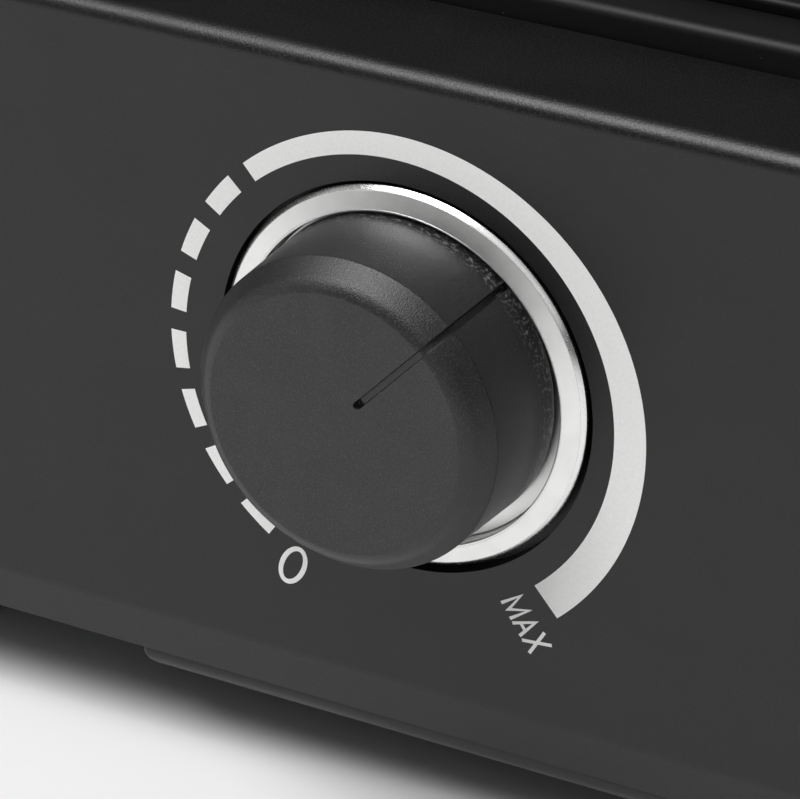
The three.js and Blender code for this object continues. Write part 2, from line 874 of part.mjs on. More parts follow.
// Bent strap from the pan's outer wall into the handle, about the pan's centre
function panTang() {
  const wallTop = panHeight - panSheet;
  const slope = panDraft / (wallTop - panFloorFillet);
  const wallX = (height) => panLength / 2 - panRim - (wallTop - height) * slope + fitGap;
  const top = wallTop - tangDrop;
  const legFoot = top - tangLegHeight;
  const end = panLength / 2 + tangLength;
  const outline = new THREE.Shape();
  outline.moveTo(wallX(legFoot), legFoot);
  outline.lineTo(wallX(legFoot) + tangSheet, legFoot);
  outline.lineTo(wallX(top) + tangSheet, top - tangSheet * 2);
  outline.lineTo(wallX(top) + tangSheet * 2, top - tangSheet);
  outline.lineTo(end, top - tangSheet);
  outline.lineTo(end, top);
  outline.lineTo(wallX(top), top);
  outline.closePath();
  const strap = new THREE.ExtrudeGeometry(outline, { depth: tangWidth, bevelEnabled: false });
  return strap.rotateX(Math.PI / 2).translate(0, tangWidth / 2, 0);
}

// Grip that swells towards its end, with a slot for the tang, about the pan's centre
function panHandle() {
  const tangTop = panHeight - panSheet - tangDrop;
  const start = panLength / 2 + handleStart;
  const middle = tangTop - tangSheet / 2;
  const stationShares = [0, 0.03, 0.16, 0.36, 0.58, 0.8, 0.93, 0.985, 1];
  const rings = stationShares.map((share) => {
    const towardsWaist = Math.sin(Math.min(share / handleWaistShare, 1) * Math.PI / 2);
    const pastWaist = Math.max(share - handleWaistShare, 0) / (1 - handleWaistShare);
    const towardsEnd = (1 - Math.cos(pastWaist * Math.PI)) / 2;
    const blend = (root, waist, end) => (
      root + (waist - root) * towardsWaist + (end - waist) * towardsEnd
    );
    const endCap = share === 0 || share === 1 ? handleEndCapShare : 1;
    const halfWidth = blend(handleRootWidth, handleWaistWidth, handleEndWidth) / 2 * endCap;
    const halfHeight = blend(handleRootHeight, handleWaistHeight, handleEndHeight) / 2 * endCap;
    const centre = middle + handleRise * share ** 2;
    return Array.from({ length: handleSegments }, (_, i) => {
      const angle = (i / handleSegments) * Math.PI * 2;
      const power = 2 / handleSquareness;
      const across = Math.sign(Math.cos(angle)) * Math.abs(Math.cos(angle)) ** power;
      const upward = Math.sign(Math.sin(angle)) * Math.abs(Math.sin(angle)) ** power;
      return [start + share * handleLength, across * halfWidth, centre + upward * halfHeight];
    });
  });
  const slotEnd = panLength / 2 + tangLength + fitGap;
  const slotHalf = tangWidth / 2 + fitGap;
  const slot = box(
    [start - overrun, slotEnd],
    [-slotHalf, slotHalf],
    [tangTop - tangSheet - fitGap, tangTop + fitGap],
  );
  return solid(stacked(rings)).subtract(slot);
}

// Housing ends and what closes them
const controlEnd = new THREE.Group();
const farEnd = new THREE.Group();
farEnd.rotation.z = Math.PI;
grill.add(controlEnd, farEnd);
addPiece(controlEnd, 'control_end_shell', controlEndShell(), finishes.housing);
addPiece(farEnd, 'far_end_shell', endShell(), finishes.housing);
addPiece(controlEnd, 'control_bottom_cover', bottomCover(), finishes.housing);
addPiece(farEnd, 'far_bottom_cover', bottomCover(), finishes.housing);
addPiece(controlEnd, 'control_heat_shield', heatShield(true), finishes.bareSteel);
addPiece(farEnd, 'far_heat_shield', heatShield(false), finishes.bareSteel);
[['left', -1], ['right', 1]].forEach(([side, sign]) => {
  const y = frontFace + footInset;
  addPiece(grill, `foot_front_${side}`, foot(), finishes.rubber).position.set(sign * footX, y, 0);
  addPiece(grill, `foot_back_${side}`, foot(), finishes.rubber).position.set(sign * footX, -y, 0);
});

// Sheet steel and heater between the ends
addPiece(grill, 'pan_deck', panDeck(), finishes.coatedSteel);
addPiece(grill, 'bottom_reflector', bottomReflector(), finishes.bareSteel);
addPiece(grill, 'heating_element', heatingElement(), finishes.heater);
addPiece(grill, 'element_bracket_near', elementBracket(), finishes.bareSteel).position.y = -panPitch;
addPiece(grill, 'element_bracket_far', elementBracket(), finishes.bareSteel).position.y = panPitch;
[['left', -1], ['right', 1]].forEach(([side, sign]) => {
  const bushY = endInnerFace - shieldSheet / 2;
  const terminalY = frontFace + elementLegEnd - fitGap;
  addPiece(grill, `element_bush_${side}`, elementBush(), finishes.ceramic)
    .position.set(sign * legX, bushY, elementHeight);
  addPiece(grill, `element_terminal_${side}`, elementTerminal(), finishes.bareSteel)
    .position.set(sign * legX, terminalY, elementHeight);
});

// Knob, ring and thermostat; the ring sits a little right of the knob's axis and below it
const knobTurn = new THREE.Group();
knobTurn.position.set(0, frontFace, knobAxis);
knobTurn.rotation.x = Math.PI / 2;
grill.add(knobTurn);
addPiece(knobTurn, 'control_knob', knob(), finishes.knob)
  .rotation.z = THREE.MathUtils.degToRad(knobRestAngle);
const ring = addPiece(grill, 'knob_ring', knobRing(), finishes.satinMetal);
ring.position.set(ringOffCentreAcross, frontFace, ringAxis);
ring.rotation.x = Math.PI / 2;
addPiece(grill, 'thermostat_shaft', thermostatShaft(), finishes.bareSteel);
addPiece(grill, 'thermostat_bracket', thermostatBracket(), finishes.bareSteel);
addPiece(grill, 'thermostat_body', thermostatBody(), finishes.ceramic);
[['left', -1], ['right', 1]].forEach(([side, sign]) => {
  addPiece(grill, `thermostat_screw_${side}`, thermostatScrew(), finishes.bareSteel)
    .position.set(sign * bracketScrewSpacing / 2, bracketBack + fitGap, knobAxis);
});

// Inner wiring, each end square to the piece that it meets
addPiece(grill, 'terminal_block', terminalBlock(), finishes.ceramic);
addPiece(grill, 'cord_gland', cordGland(), finishes.rubber)
  .position.set(-housingWidth / 2 + shellWall / 2, frontFace + glandInset, glandHeight);
const poleTop = coverTop + fitGap + blockHeight + fitGap;
const poleY = frontFace + blockInset;
const tabTop = knobAxis + thermostatHeight / 2 + tabLength / 2;
const tabY = thermostatFront + thermostatDepth / 2;
const tabSide = (tabSpacing + tabWidth) / 2 + fitGap;
const leadEndY = frontFace + elementLegEnd - fitGap - terminalLength - tabLength / 2;
const leadEndX = legX - tabWidth / 2 - fitGap;
const shieldFront = endInnerFace - shieldSheet - fitGap;
addPiece(grill, 'lead_live', lead([
  [blockCentreX, poleY, poleTop],
  [blockCentreX, poleY, poleTop + leadBend],
  [blockCentreX + leadLift, poleY - leadBend / 2, poleTop + leadLift * 2],
  [-tabSide - leadLift, tabY, tabTop],
  [-tabSide - leadBend / 2, tabY, tabTop],
  [-tabSide, tabY, tabTop],
]), finishes.lead);
addPiece(grill, 'lead_switched', lead([
  [tabSide, tabY, tabTop],
  [tabSide + leadBend / 2, tabY, tabTop],
  [(tabSide + leadEndX) / 2, tabY, tabTop + leadBend],
  [leadEndX - leadBend / 2, leadEndY, elementHeight],
  [leadEndX, leadEndY, elementHeight],
]), finishes.lead);
addPiece(grill, 'lead_neutral', lead([
  [blockCentreX - poleSpacing, poleY, poleTop],
  [blockCentreX - poleSpacing, poleY, poleTop + leadBend],
  [blockCentreX - leadSpread, poleY - leadBend / 2, poleTop + leadLift * 2],
  [-legX - tabWidth / 2 - leadBend * 2, leadEndY, elementHeight],
  [-legX - tabWidth / 2 - fitGap - leadBend / 2, leadEndY, elementHeight],
  [-legX - tabWidth / 2 - fitGap, leadEndY, elementHeight],
]), finishes.lead);
addPiece(grill, 'lead_earth', lead([
  [blockCentreX + poleSpacing, poleY, poleTop],
  [blockCentreX + poleSpacing, poleY, poleTop + leadBend],
  [blockCentreX + leadSpread, poleY + leadBend, poleTop + leadBend * 2],
  [blockCentreX + leadSpread + leadBend, shieldFront - leadBend / 2, poleTop + leadBend],
  [blockCentreX + leadSpread + leadBend, shieldFront, poleTop + leadBend],
]), finishes.lead);

// Grill plate and pans
addPiece(grill, 'grill_plate', grillPlate(), finishes.castPlate);
[['right', 0], ['left', Math.PI]].forEach(([side, turn]) => {
  const row = new THREE.Group();
  row.rotation.z = turn;
  grill.add(row);
  for (let i = 0; i < pansPerSide; i += 1) {
    const place = (i - (pansPerSide - 1) / 2) * panPitch;
    const seat = new THREE.Group();
    seat.position.set(panInnerEdge + panLength / 2, turn ? -place : place, deckHeight + fitGap);
    row.add(seat);
    addPiece(seat, `pan_${side}_${i + 1}`, pan(), finishes.coatedSteel);
    addPiece(seat, `pan_tang_${side}_${i + 1}`, panTang(), finishes.bareSteel);
    addPiece(seat, `pan_handle_${side}_${i + 1}`, panHandle(), finishes.housing);
  }
});

// The origin lies under the middle of the whole object, which the knob lengthens at one end
grill.position.y = knobReach / 2;

export default grill;
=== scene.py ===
import json
import math

import bmesh
import bpy
from mathutils import Matrix, Quaternion, Vector


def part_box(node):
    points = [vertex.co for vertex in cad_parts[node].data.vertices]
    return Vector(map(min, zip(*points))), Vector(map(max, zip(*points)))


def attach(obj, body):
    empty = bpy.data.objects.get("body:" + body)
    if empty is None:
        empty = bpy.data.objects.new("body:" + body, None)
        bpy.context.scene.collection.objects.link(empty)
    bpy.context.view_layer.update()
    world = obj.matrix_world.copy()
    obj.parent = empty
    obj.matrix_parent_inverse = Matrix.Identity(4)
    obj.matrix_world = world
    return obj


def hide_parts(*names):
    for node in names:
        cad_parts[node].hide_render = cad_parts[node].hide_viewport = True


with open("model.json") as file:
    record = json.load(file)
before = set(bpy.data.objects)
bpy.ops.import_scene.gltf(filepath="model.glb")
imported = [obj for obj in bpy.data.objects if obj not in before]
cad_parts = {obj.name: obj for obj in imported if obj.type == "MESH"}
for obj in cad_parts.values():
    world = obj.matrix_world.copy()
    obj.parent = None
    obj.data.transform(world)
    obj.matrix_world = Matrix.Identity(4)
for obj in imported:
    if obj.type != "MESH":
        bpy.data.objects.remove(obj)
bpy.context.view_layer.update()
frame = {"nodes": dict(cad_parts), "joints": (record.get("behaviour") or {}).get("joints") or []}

# Looks of a tabletop raclette grill, built round its packed construction model. Metres, +Z up.
# The control end faces -Y. Each operator makes one piece or one group of like pieces.

bl_info = {
    "name": "Raclette grill looks",
    "version": (1, 0, 0),
    "blender": (4, 5, 0),
    "location": "3D View > Sidebar > Raclette grill",
    "description": "Finished surfaces of a tabletop raclette grill round its construction model",
    "category": "Object",
}

# Places that come from the construction model
SHELL_LOW, SHELL_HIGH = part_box("control_end_shell")
PANEL_Y = SHELL_LOW.y
LIP_Z = SHELL_LOW.z
SHELL_TOP = SHELL_HIGH.z
HALF_WIDTH = SHELL_HIGH.x
END_DEPTH = SHELL_HIGH.y - SHELL_LOW.y
BACK_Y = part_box("far_end_shell")[1].y
KNOB_AXIS = Vector(next(j["pos_m"] for j in frame["joints"] if j["name"] == "knob_turn"))
RING_LOW, RING_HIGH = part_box("knob_ring")
RING_CENTRE = Vector(((RING_LOW.x + RING_HIGH.x) / 2, PANEL_Y, (RING_LOW.z + RING_HIGH.z) / 2))
PLATE_LOW, PLATE_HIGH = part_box("grill_plate")
PLATE_MIDDLE_Y = (PLATE_LOW.y + PLATE_HIGH.y) / 2
PAN_NAMES = [f"{side}_{place}" for side in ("left", "right") for place in range(1, 5)]

# The panel's own plane: x to the right, y up and z out of the panel. The ring and the print are
# set out from the ring's centre, and the knob from its own axis, a little up and left of it.
OUT_OF_PANEL = Matrix.Rotation(math.pi / 2, 4, "X")
DIAL = Matrix.Translation(RING_CENTRE) @ OUT_OF_PANEL
KNOB = Matrix.Translation(KNOB_AXIS) @ OUT_OF_PANEL
CONTROL_END = Matrix.Translation((0, PANEL_Y, 0))
FAR_END = Matrix.Translation((0, BACK_Y, 0)) @ Matrix.Rotation(math.pi, 4, "Z")

CORNER_STEPS = 16
ROUND_SEGMENTS = 192
SMALL_SEGMENTS = 64
FILLET_STEPS = 8
SIDE_STEPS = 16
AROUND_KNOB = 200
ZERO_STEPS = 72
GRIP_STATIONS = 56
BEND_STEPS = 32
# Points nearer than the weld are one, pieces that fit together keep the clearance, and a cutting
# tool reaches past what it cuts by the spare length. A flat middle starts well inside its wall.
WELD = 1e-6
CLEARANCE = 0.0003
SPARE = 0.01
FLAT_START = 0.02
# Screws under each end: across from the middle, and back from the end's face
SCREW_PLACES = ((0.058, 0.014), (0.098, 0.038))


def length(name, description, metres):
    return bpy.props.FloatProperty(name=name, description=description, default=metres, min=0.0,
                                   precision=5, subtype="DISTANCE", unit="LENGTH")


def turn(name, description, degrees):
    return bpy.props.FloatProperty(name=name, description=description, unit="ROTATION",
                                   default=math.radians(degrees), subtype="ANGLE")


def tint(name, description, colour):
    return bpy.props.FloatVectorProperty(name=name, description=description, default=colour,
                                         size=3, min=0.0, max=1.0, subtype="COLOR")


def amount(name, description, default):
    return bpy.props.IntProperty(name=name, description=description, default=default, min=0)


class HousingSettings(bpy.types.PropertyGroup):
    """Sizes of the two moulded ends and their bottom covers"""
    corner_radius: length("Corner radius", "Radius of the upright outer corners", 0.022)
    top_radius: length("Top edge radius", "Radius of the edge between panel and ledge", 0.0026)
    ledge_depth: length("Ledge depth", "Depth of the flat ledge behind the top edge", 0.022)
    seat_drop: length("Seat drop", "How far the plate's seat lies below the ledge", 0.0099)
    skirt_height: length("Skirt height", "Height of the slanted band above the lip", 0.007)
    skirt_inset: length("Skirt inset", "How far the band draws the lip in", 0.0013)
    skirt_blend: length("Skirt blend", "Radius between the panel and the band", 0.006)
    wall: length("Wall", "Thickness of the moulded wall", 0.0026)
    broken_edge: length("Broken edge", "Width of the rounding on crisp edges", 0.0004)
    pocket_radius: length("Pocket radius", "Radius of the round pocket of the knob", 0.0278)
    pocket_shift: length(
        "Pocket shift", "How far the pocket lies right of the ring and below", 0.0002)
    pocket_depth: length("Pocket depth", "Depth of the pocket below the panel", 0.003)
    pocket_floor: length("Pocket floor", "Thickness of the pocket's floor", 0.0022)
    pocket_rim: length("Pocket rim", "Thickness of the boss round the pocket", 0.0028)
    cover_sheet: length("Cover thickness", "Thickness of the bottom cover", 0.0025)
    strip_half_width: length(
        "Strip half width", "Half the width of the strip under the lip", 0.0424)
    strip_drop: length("Strip drop", "How far the strip hangs below the lip", 0.0032)
    strip_set_back: length("Strip set-back", "How far the strip lies behind the panel", 0.0015)
    strip_depth: length("Strip depth", "Depth of the strip under the housing", 0.028)
    strip_corner: length("Strip corner", "Radius of the strip's corners seen from below", 0.0012)
    strip_end: length("Strip end radius", "Radius of the strip's lower ends", 0.0025)
    foot_inset: length("Foot inset", "Distance of the feet from the panel", 0.025)
    foot_hole: length("Foot hole", "Radius of a foot's hole in the bottom cover", 0.0033)
    foot_hollow: length("Foot hollow", "Depth of the hollow under a foot", 0.0006)
    foot_edge: length("Foot edge", "Radius of a foot's lower edge", 0.0011)
    stem_radius: length("Stem radius", "Radius of a foot's stem", 0.003)
    barb_radius: length("Barb radius", "Radius of the barb that holds a foot", 0.0039)
    barb_tip: length("Barb tip", "Radius of the barb's tip", 0.0022)
    barb_height: length("Barb height", "Height of the barb", 0.0032)
    shaft_hole: length("Shaft hole", "Radius of the shaft's hole in the pocket's floor", 0.0036)
    outlet_radius: length("Outlet radius", "Radius of the hole for the cord's gland", 0.0058)
    screw_radius: length("Screw head radius", "Radius of the screw heads under the ends", 0.0032)


class DialSettings(bpy.types.PropertyGroup):
    """Sizes of the knob, its ring and the printed scale"""
    rim_radius: length("Rim radius", "Knob radius where the bevel starts", 0.0220)
    base_radius: length("Base radius", "Knob radius at the panel", 0.0225)
    face_radius: length("Face radius", "Radius of the knob's flat face", 0.0183)
    reach: length("Reach", "How far the knob stands out of the panel", 0.0171)
    bevel_depth: length("Bevel depth", "Depth of the knob's bevel", 0.0036)
    bevel_start: turn("Bevel start", "Slope of the bevel where it leaves the face", 17.0)
    bevel_slope: turn("Bevel slope", "Slope of the bevel's outer half", 53.0)
    bevel_bend: length("Bevel bend", "Radius between the bevel's two slopes", 0.0036)
    face_edge: length("Face edge", "Radius between the knob's face and its bevel", 0.0008)
    rim_edge: length("Rim edge radius", "Radius between the knob's bevel and its side", 0.0005)
    base_edge: length("Base edge", "Width of the broken edges at the knob's base", 0.0003)
    boss_radius: length("Boss radius", "Radius of the boss inside the knob", 0.0065)
    bore_radius: length("Bore radius", "Radius of the shaft's bore in the boss", 0.0033)
    bore_depth: length("Bore depth", "Where the bore ends, from the panel", 0.012)
    base_sink: length("Base sink", "How far the knob goes into the ring", 0.001)
    knob_wall: length("Knob wall", "Wall of the hollow knob", 0.0024)
    slot_width: length("Slot width", "Width of the pointer slot", 0.00112)
    slot_start: length("Slot start", "Distance of the slot's round end from the axis", 0.0051)
    face_slot_depth: length("Slot depth on the face", "Depth of the slot on the face", 0.00034)
    side_slot_depth: length("Slot depth on the side", "Depth of the slot on the side", 0.0008)
    rest_angle: turn("Rest angle", "Direction that the pointer slot shows at rest", 46.0)
    ring_outer: length("Ring outer radius", "Outer radius of the metal ring", 0.027)
    ring_inner: length("Ring inner radius", "Inner radius of the metal ring", 0.0237)
    ring_rise: length("Ring rise", "How far the ring stands out of the panel", 0.00095)
    ring_fall: length("Ring fall", "Depth of the ring's outer bevel", 0.0006)
    ring_dish: length("Ring dish", "How much lower the band's outer edge lies", 0.0007)
    ring_flank: length("Ring flank", "Height of the ring's upright outer edge", 0.0005)
    ring_bevel: length("Ring bevel", "Width of the ring's polished outer bevel", 0.00062)
    ring_lip: length("Ring lip", "Width of the ring's thin inner lip", 0.0003)
    ring_sleeve: length("Ring sleeve", "Wall of the sleeve that holds the ring", 0.0009)
    ring_seat: length(
        "Ring seat", "How far the ring's bright floor reaches in under the knob", 0.0028)
    ring_seat_depth: length("Ring seat depth", "Depth of the ring's floor below the panel", 0.0019)
    scale_shift_x: length(
        "Scale shift across", "Printed scale's centre left of the ring's", 0.00097)
    scale_shift_y: length("Scale shift down", "Printed scale's centre below the ring's", 0.00113)
    scale_inner: length("Scale inner radius", "Inner radius of the printed scale", 0.03208)
    scale_thin: length("Scale start width", "Width of the scale at its thin end", 0.00178)
    scale_thick: length("Scale end width", "Width of the scale at its thick end", 0.00524)
    scale_start: turn("Scale start", "Direction of the first dash", 235.0)
    scale_join: turn("Band start", "Direction where the unbroken band starts", 130.5)
    scale_end: turn("Scale end", "Direction where the band ends", -49.5)
    dash_count: amount("Dashes", "Number of dashes before the band", 7)
    dash_share: bpy.props.FloatProperty(
        name="Dash share", description="Share of the dash pitch that is printed",
        default=0.64, min=0.1, max=1.0, subtype="FACTOR")
    dash_pitch: turn("Dash pitch", "Angle from dash to dash", 14.85)
    ink: length("Ink thickness", "Thickness of the printed ink", 0.00003)
    zero_left: length("Zero left", "How far the zero's middle lies left of the ring's", 0.01696)
    zero_below: length("Zero below", "How far the zero's middle lies below the ring's", 0.03251)
    zero_height: length("Zero height", "Height of the printed zero", 0.00652)
    zero_width: length("Zero width", "Width of the printed zero", 0.00394)
    zero_stroke: length("Zero stroke", "Stroke of the printed zero", 0.00072)
    zero_turn: turn("Zero turn", "Direction in which the zero leans", -26.2)
    word_right: length(
        "Word right", "How far the word's start lies right of the ring's middle", 0.01493)
    word_below: length(
        "Word below", "How far the word's start lies below the ring's middle", 0.02947)
    word_height: length("Word height", "Height of the letters at the hot end", 0.00392)
    word_length: length("Word length", "Length of the word at the hot end", 0.00784)
    word_stroke: length("Word stroke", "Stroke of the letters", 0.00049)
    word_turn: turn("Word turn", "Direction in which the word runs", -56.6)


class PlateSettings(bpy.types.PropertyGroup):
    """Sizes of the cast grill plate"""
    corner_radius: length("Corner radius", "Radius of the plate's outer corners", 0.012)
    rim_width: length("Rim width", "Width of the raised rim", 0.0045)
    edge_radius: length("Edge radius", "Radius of the rim's outer edge", 0.0014)
    floor_depth: length("Floor depth", "Depth of the cooking surface below the rim", 0.011)
    floor_fillet: length("Floor fillet", "Radius between wall and cooking surface", 0.003)
    wall_lean: length("Wall lean", "How far the inner wall leans in", 0.0016)
    underside_inset: length("Underside inset", "How far the underside is set in", 0.009)
    rib_count: amount("Ribs", "Number of cooking ribs", 20)
    rib_pitch: length("Rib pitch", "Distance from rib to rib", 0.012)
    rib_foot: length("Rib foot", "Width of a rib at its foot", 0.0044)
    rib_top: length("Rib top", "Width of a rib at its top", 0.0024)
    rib_height: length("Rib height", "Height of a rib", 0.0025)
    rib_edge: length("Rib edge", "Radius of a rib's upper edges", 0.0008)
    rib_sink: length("Rib sink", "How far a rib goes into the cooking surface", 0.0002)
    rib_margin: length("Rib margin", "Distance of a rib's ends from the rim", 0.013)
    rib_end_margin: length("First rib", "Distance of the first rib from the rim", 0.017)


class PanSettings(bpy.types.PropertyGroup):
    """Sizes of a pan, its tang and its handle"""
    corner_radius: length("Corner radius", "Radius of a pan's corners", 0.016)
    sheet: length("Sheet", "Thickness of the pan's steel", 0.001)
    rim: length("Rim", "Width of the rim that turns outwards", 0.002)
    draft: length("Draft", "How far the wall leans in towards the floor", 0.002)
    floor_fillet: length("Floor fillet", "Radius between wall and floor", 0.003)
    handle_squareness: bpy.props.FloatProperty(
        name="Handle squareness", description="Two is an oval section and more is squarer",
        default=3.0, min=2.0)
    thumb_depth: length("Thumb rest depth", "Depth of the thumb rest on top", 0.0009)
    tang_width: length("Tang width", "Width of the steel tang", 0.014)
    tang_sheet: length("Tang sheet", "Thickness of the steel tang", 0.0012)
    tang_reach: length("Tang reach", "How far the tang goes into the handle", 0.030)
    rivet_radius: length("Rivet radius", "Radius of the rivet heads", 0.0021)
    rivet_height: length("Rivet height", "Height of the rivet heads", 0.0009)
    rivet_spacing: length("Rivet spacing", "Distance between a pan's two rivets", 0.0075)
    rivet_level: length("Rivet level", "Height of the rivets above the tang's foot", 0.0035)
    rivet_seat: length("Rivet seat", "How far the rivets' middles lie outside the tang", 0.0004)
    tang_slope: turn("Tang slope", "Slope of the wall that the rivets go through", 82.0)


class FinishSettings(bpy.types.PropertyGroup):
    """Colours of the finishes"""
    housing: tint("Housing", "Charcoal of the moulded ends", (0.0028, 0.0028, 0.0029))
    knob: tint("Knob", "Charcoal of the knob", (0.0155, 0.0155, 0.0157))
    ring: tint("Ring", "Satin metal of the ring", (0.90, 0.90, 0.89))
    ink: tint("Print", "Off-white of the printed scale", (0.86, 0.86, 0.85))
    plate: tint("Grill plate", "Coating of the cast plate", (0.0038, 0.0038, 0.0038))
    pan: tint("Pans", "Coating of the pans and the deck", (0.014, 0.0138, 0.0135))
    handle: tint("Handles", "Moulding of the pan handles", (0.013, 0.013, 0.013))
    steel: tint("Bare steel", "Bare sheet steel", (0.52, 0.52, 0.51))
    heater: tint("Heater", "Oxidised sheath of the heater", (0.09, 0.082, 0.075))
    ceramic: tint("Ceramic", "Off-white of the insulating pieces", (0.72, 0.70, 0.64))
    rubber: tint("Rubber", "Black of the feet", (0.012, 0.012, 0.012))
    sleeve: tint("Sleeves", "Woven sleeves of the inner leads", (0.55, 0.53, 0.47))


class StageSettings(bpy.types.PropertyGroup):
    """Floor, lamps and camera"""
    floor_size: length("Floor size", "Side of the square floor", 14.0)
    floor: tint("Floor", "Pale floor", (0.84, 0.84, 0.84))
    horizon: bpy.props.FloatProperty(
        name="Horizon", description="Level of the studio's walls", default=0.035, min=0.0)
    zenith: bpy.props.FloatProperty(
        name="Zenith", description="Level of the studio's ceiling", default=0.35, min=0.0)
    azimuth: turn("Azimuth", "Camera's direction round the ring from the panel's front", 29.63)
    elevation: turn("Elevation", "Camera's height above the horizon", 27.21)
    roll: turn("Roll", "Camera's turn about its own line of sight", -0.18)
    distance: length("Distance", "Camera's distance from its target", 0.6361)
    target_left: length("Target left", "How far left of the ring's centre it looks", 0.0003)
    target_below: length("Target below", "How far below the ring's centre it looks", 0.00324)
    focal: bpy.props.FloatProperty(
        name="Focal length", description="Lens of the camera in millimetres for a 36 mm sensor",
        default=219.3, min=1.0, unit="CAMERA")


def settings(name):
    return getattr(bpy.context.scene, "raclette_" + name)


# Shapes


def fillet(section, steps=FILLET_STEPS):
    """Rounds the corners of an open section whose points are (a, b, corner radius)."""
    points = []
    for index, (a, b, radius) in enumerate(section):
        here = Vector((a, b))
        if radius == 0 or index in (0, len(section) - 1):
            points.append((a, b))
            continue
        back = (Vector(section[index - 1][:2]) - here).normalized()
        ahead = (Vector(section[index + 1][:2]) - here).normalized()
        half = back.angle(ahead) / 2
        centre = here + (back + ahead).normalized() * (radius / math.sin(half))
        first = here + back * (radius / math.tan(half)) - centre
        last = here + ahead * (radius / math.tan(half)) - centre
        sweep = first.angle_signed(last)
        for step in range(steps + 1):
            ray = first.copy()
            ray.rotate(Matrix.Rotation(-sweep * step / steps, 2))
            points.append(tuple(centre + ray))
    return points


def rounded_rectangle(half_x, half_y, radius, height, steps=CORNER_STEPS):
    """Outline at one height, anticlockwise from the first corner."""
    ring = []
    for quarter, (side_x, side_y) in enumerate(((1, 1), (-1, 1), (-1, -1), (1, -1))):
        for step in range(steps + 1):
            angle = (quarter + step / steps) * math.pi / 2
            x = side_x * (half_x - radius) + radius * math.cos(angle)
            y = side_y * (half_y - radius) + radius * math.sin(angle)
            ring.append((x, y, height))
    return ring


def linked(name, data):
    """A new object in the scene."""
    thing = bpy.data.objects.new(name, data)
    bpy.context.scene.collection.objects.link(thing)
    return thing


def skin(name, rings, capped=True):
    """Closed mesh object over rings that all have the same number of points."""
    count = len(rings[0])
    vertices = [point for ring in rings for point in ring]
    faces = []
    for level in range(len(rings) - 1):
        for index in range(count):
            low, after = level * count + index, level * count + (index + 1) % count
            faces.append((low, after, after + count, low + count))
    if capped:
        faces.append(tuple(reversed(range(count))))
        faces.append(tuple(range(len(vertices) - count, len(vertices))))
    mesh = bpy.data.meshes.new(name)
    mesh.from_pydata(vertices, [], faces)
    piece = linked(name, mesh)
    tidy_mesh(piece)
    return piece


def tidy_mesh(piece):
    """Merges doubled points, drops faces without area and turns every face outwards."""
    work = bmesh.new()
    work.from_mesh(piece.data)
    bmesh.ops.remove_doubles(work, verts=work.verts, dist=WELD)
    bmesh.ops.dissolve_degenerate(work, edges=work.edges, dist=WELD)
    bmesh.ops.recalc_face_normals(work, faces=work.faces)
    work.to_mesh(piece.data)
    work.free()


def lathe(name, section, segments=ROUND_SEGMENTS):
    """Body turned about Z from (radius, height) points that end on the axis or on their start."""
    steps = [2 * math.pi * index / segments for index in range(segments)]
    rings = [[(r * math.cos(a), r * math.sin(a), h) for a in steps] for r, h in section]
    return skin(name, rings, capped=False)


def block(name, low, high):
    """Box between two corners, as a tool for joins and cuts."""
    corners = [(low[0], low[1]), (high[0], low[1]), (high[0], high[1]), (low[0], high[1])]
    return skin(name, [[(x, y, z) for x, y in corners] for z in (low[2], high[2])])


def rod(name, radius, start, end, segments=SMALL_SEGMENTS):
    """Cylinder from one point to another, as a tool for joins and cuts."""
    start, end = Vector(start), Vector(end)
    piece = lathe(name, [(0, 0), (radius, 0), (radius, (end - start).length),
                         (0, (end - start).length)], segments)
    lean = (end - start).to_track_quat("Z", "Y").to_matrix().to_4x4()
    piece.data.transform(Matrix.Translation(start) @ lean)
    return piece


def settle(piece):
    """Turns an object's modifiers into one plain mesh."""
    view = bpy.context.evaluated_depsgraph_get()
    mesh = bpy.data.meshes.new_from_object(piece.evaluated_get(view))
    piece.modifiers.clear()
    piece.data = mesh
    return piece


def join(piece, tool, operation="UNION"):
    """Joins a tool to a piece, or cuts it out of it, and removes the tool."""
    modifier = piece.modifiers.new("join", "BOOLEAN")
    modifier.operation = operation
    modifier.solver = "EXACT"
    modifier.object = tool
    settle(piece)
    bpy.data.objects.remove(tool)
    return piece


def cut(piece, tool):
    return join(piece, tool, "DIFFERENCE")


def smooth(piece, edge=0.0, crease=35.0, segments=2):
    """Rounds the sharp edges by a small width and shades the rest smooth."""
    if edge:
        bevel = piece.modifiers.new("edge", "BEVEL")
        bevel.width = edge
        bevel.segments = segments
        bevel.limit_method = "ANGLE"
        bevel.angle_limit = math.radians(crease)
        settle(piece)
    piece.data.shade_smooth()
    piece.data.set_sharp_from_angle(angle=math.radians(crease))
    weighted = piece.modifiers.new("flats", "WEIGHTED_NORMAL")
    weighted.keep_sharp = True
    return settle(piece)


def softened(node, name, edge=0.00025):
    """A copy of a construction node with its flats joined and its edges broken."""
    piece = linked(name, frame["nodes"][node].data.copy())
    work = bmesh.new()
    work.from_mesh(piece.data)
    bmesh.ops.remove_doubles(work, verts=work.verts, dist=WELD)
    bmesh.ops.dissolve_limit(
        work, angle_limit=math.radians(1), verts=work.verts, edges=work.edges)
    work.to_mesh(piece.data)
    work.free()
    return smooth(piece, edge, crease=35.0)


def handed_over(piece, finish, body, slot_name, *nodes):
    """Gives a finished piece its material and body, and hides the nodes it stands for; slot_name is
    not used.
    """
    piece.data.materials.clear()
    piece.data.materials.append(finishes()[finish])
    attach(piece, body)
    if nodes:
        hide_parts(*nodes)
    return piece


# Materials

# Most of a noise's values lie between these two
MOST = (0.3, 0.7)
SHADER = "Principled BSDF"


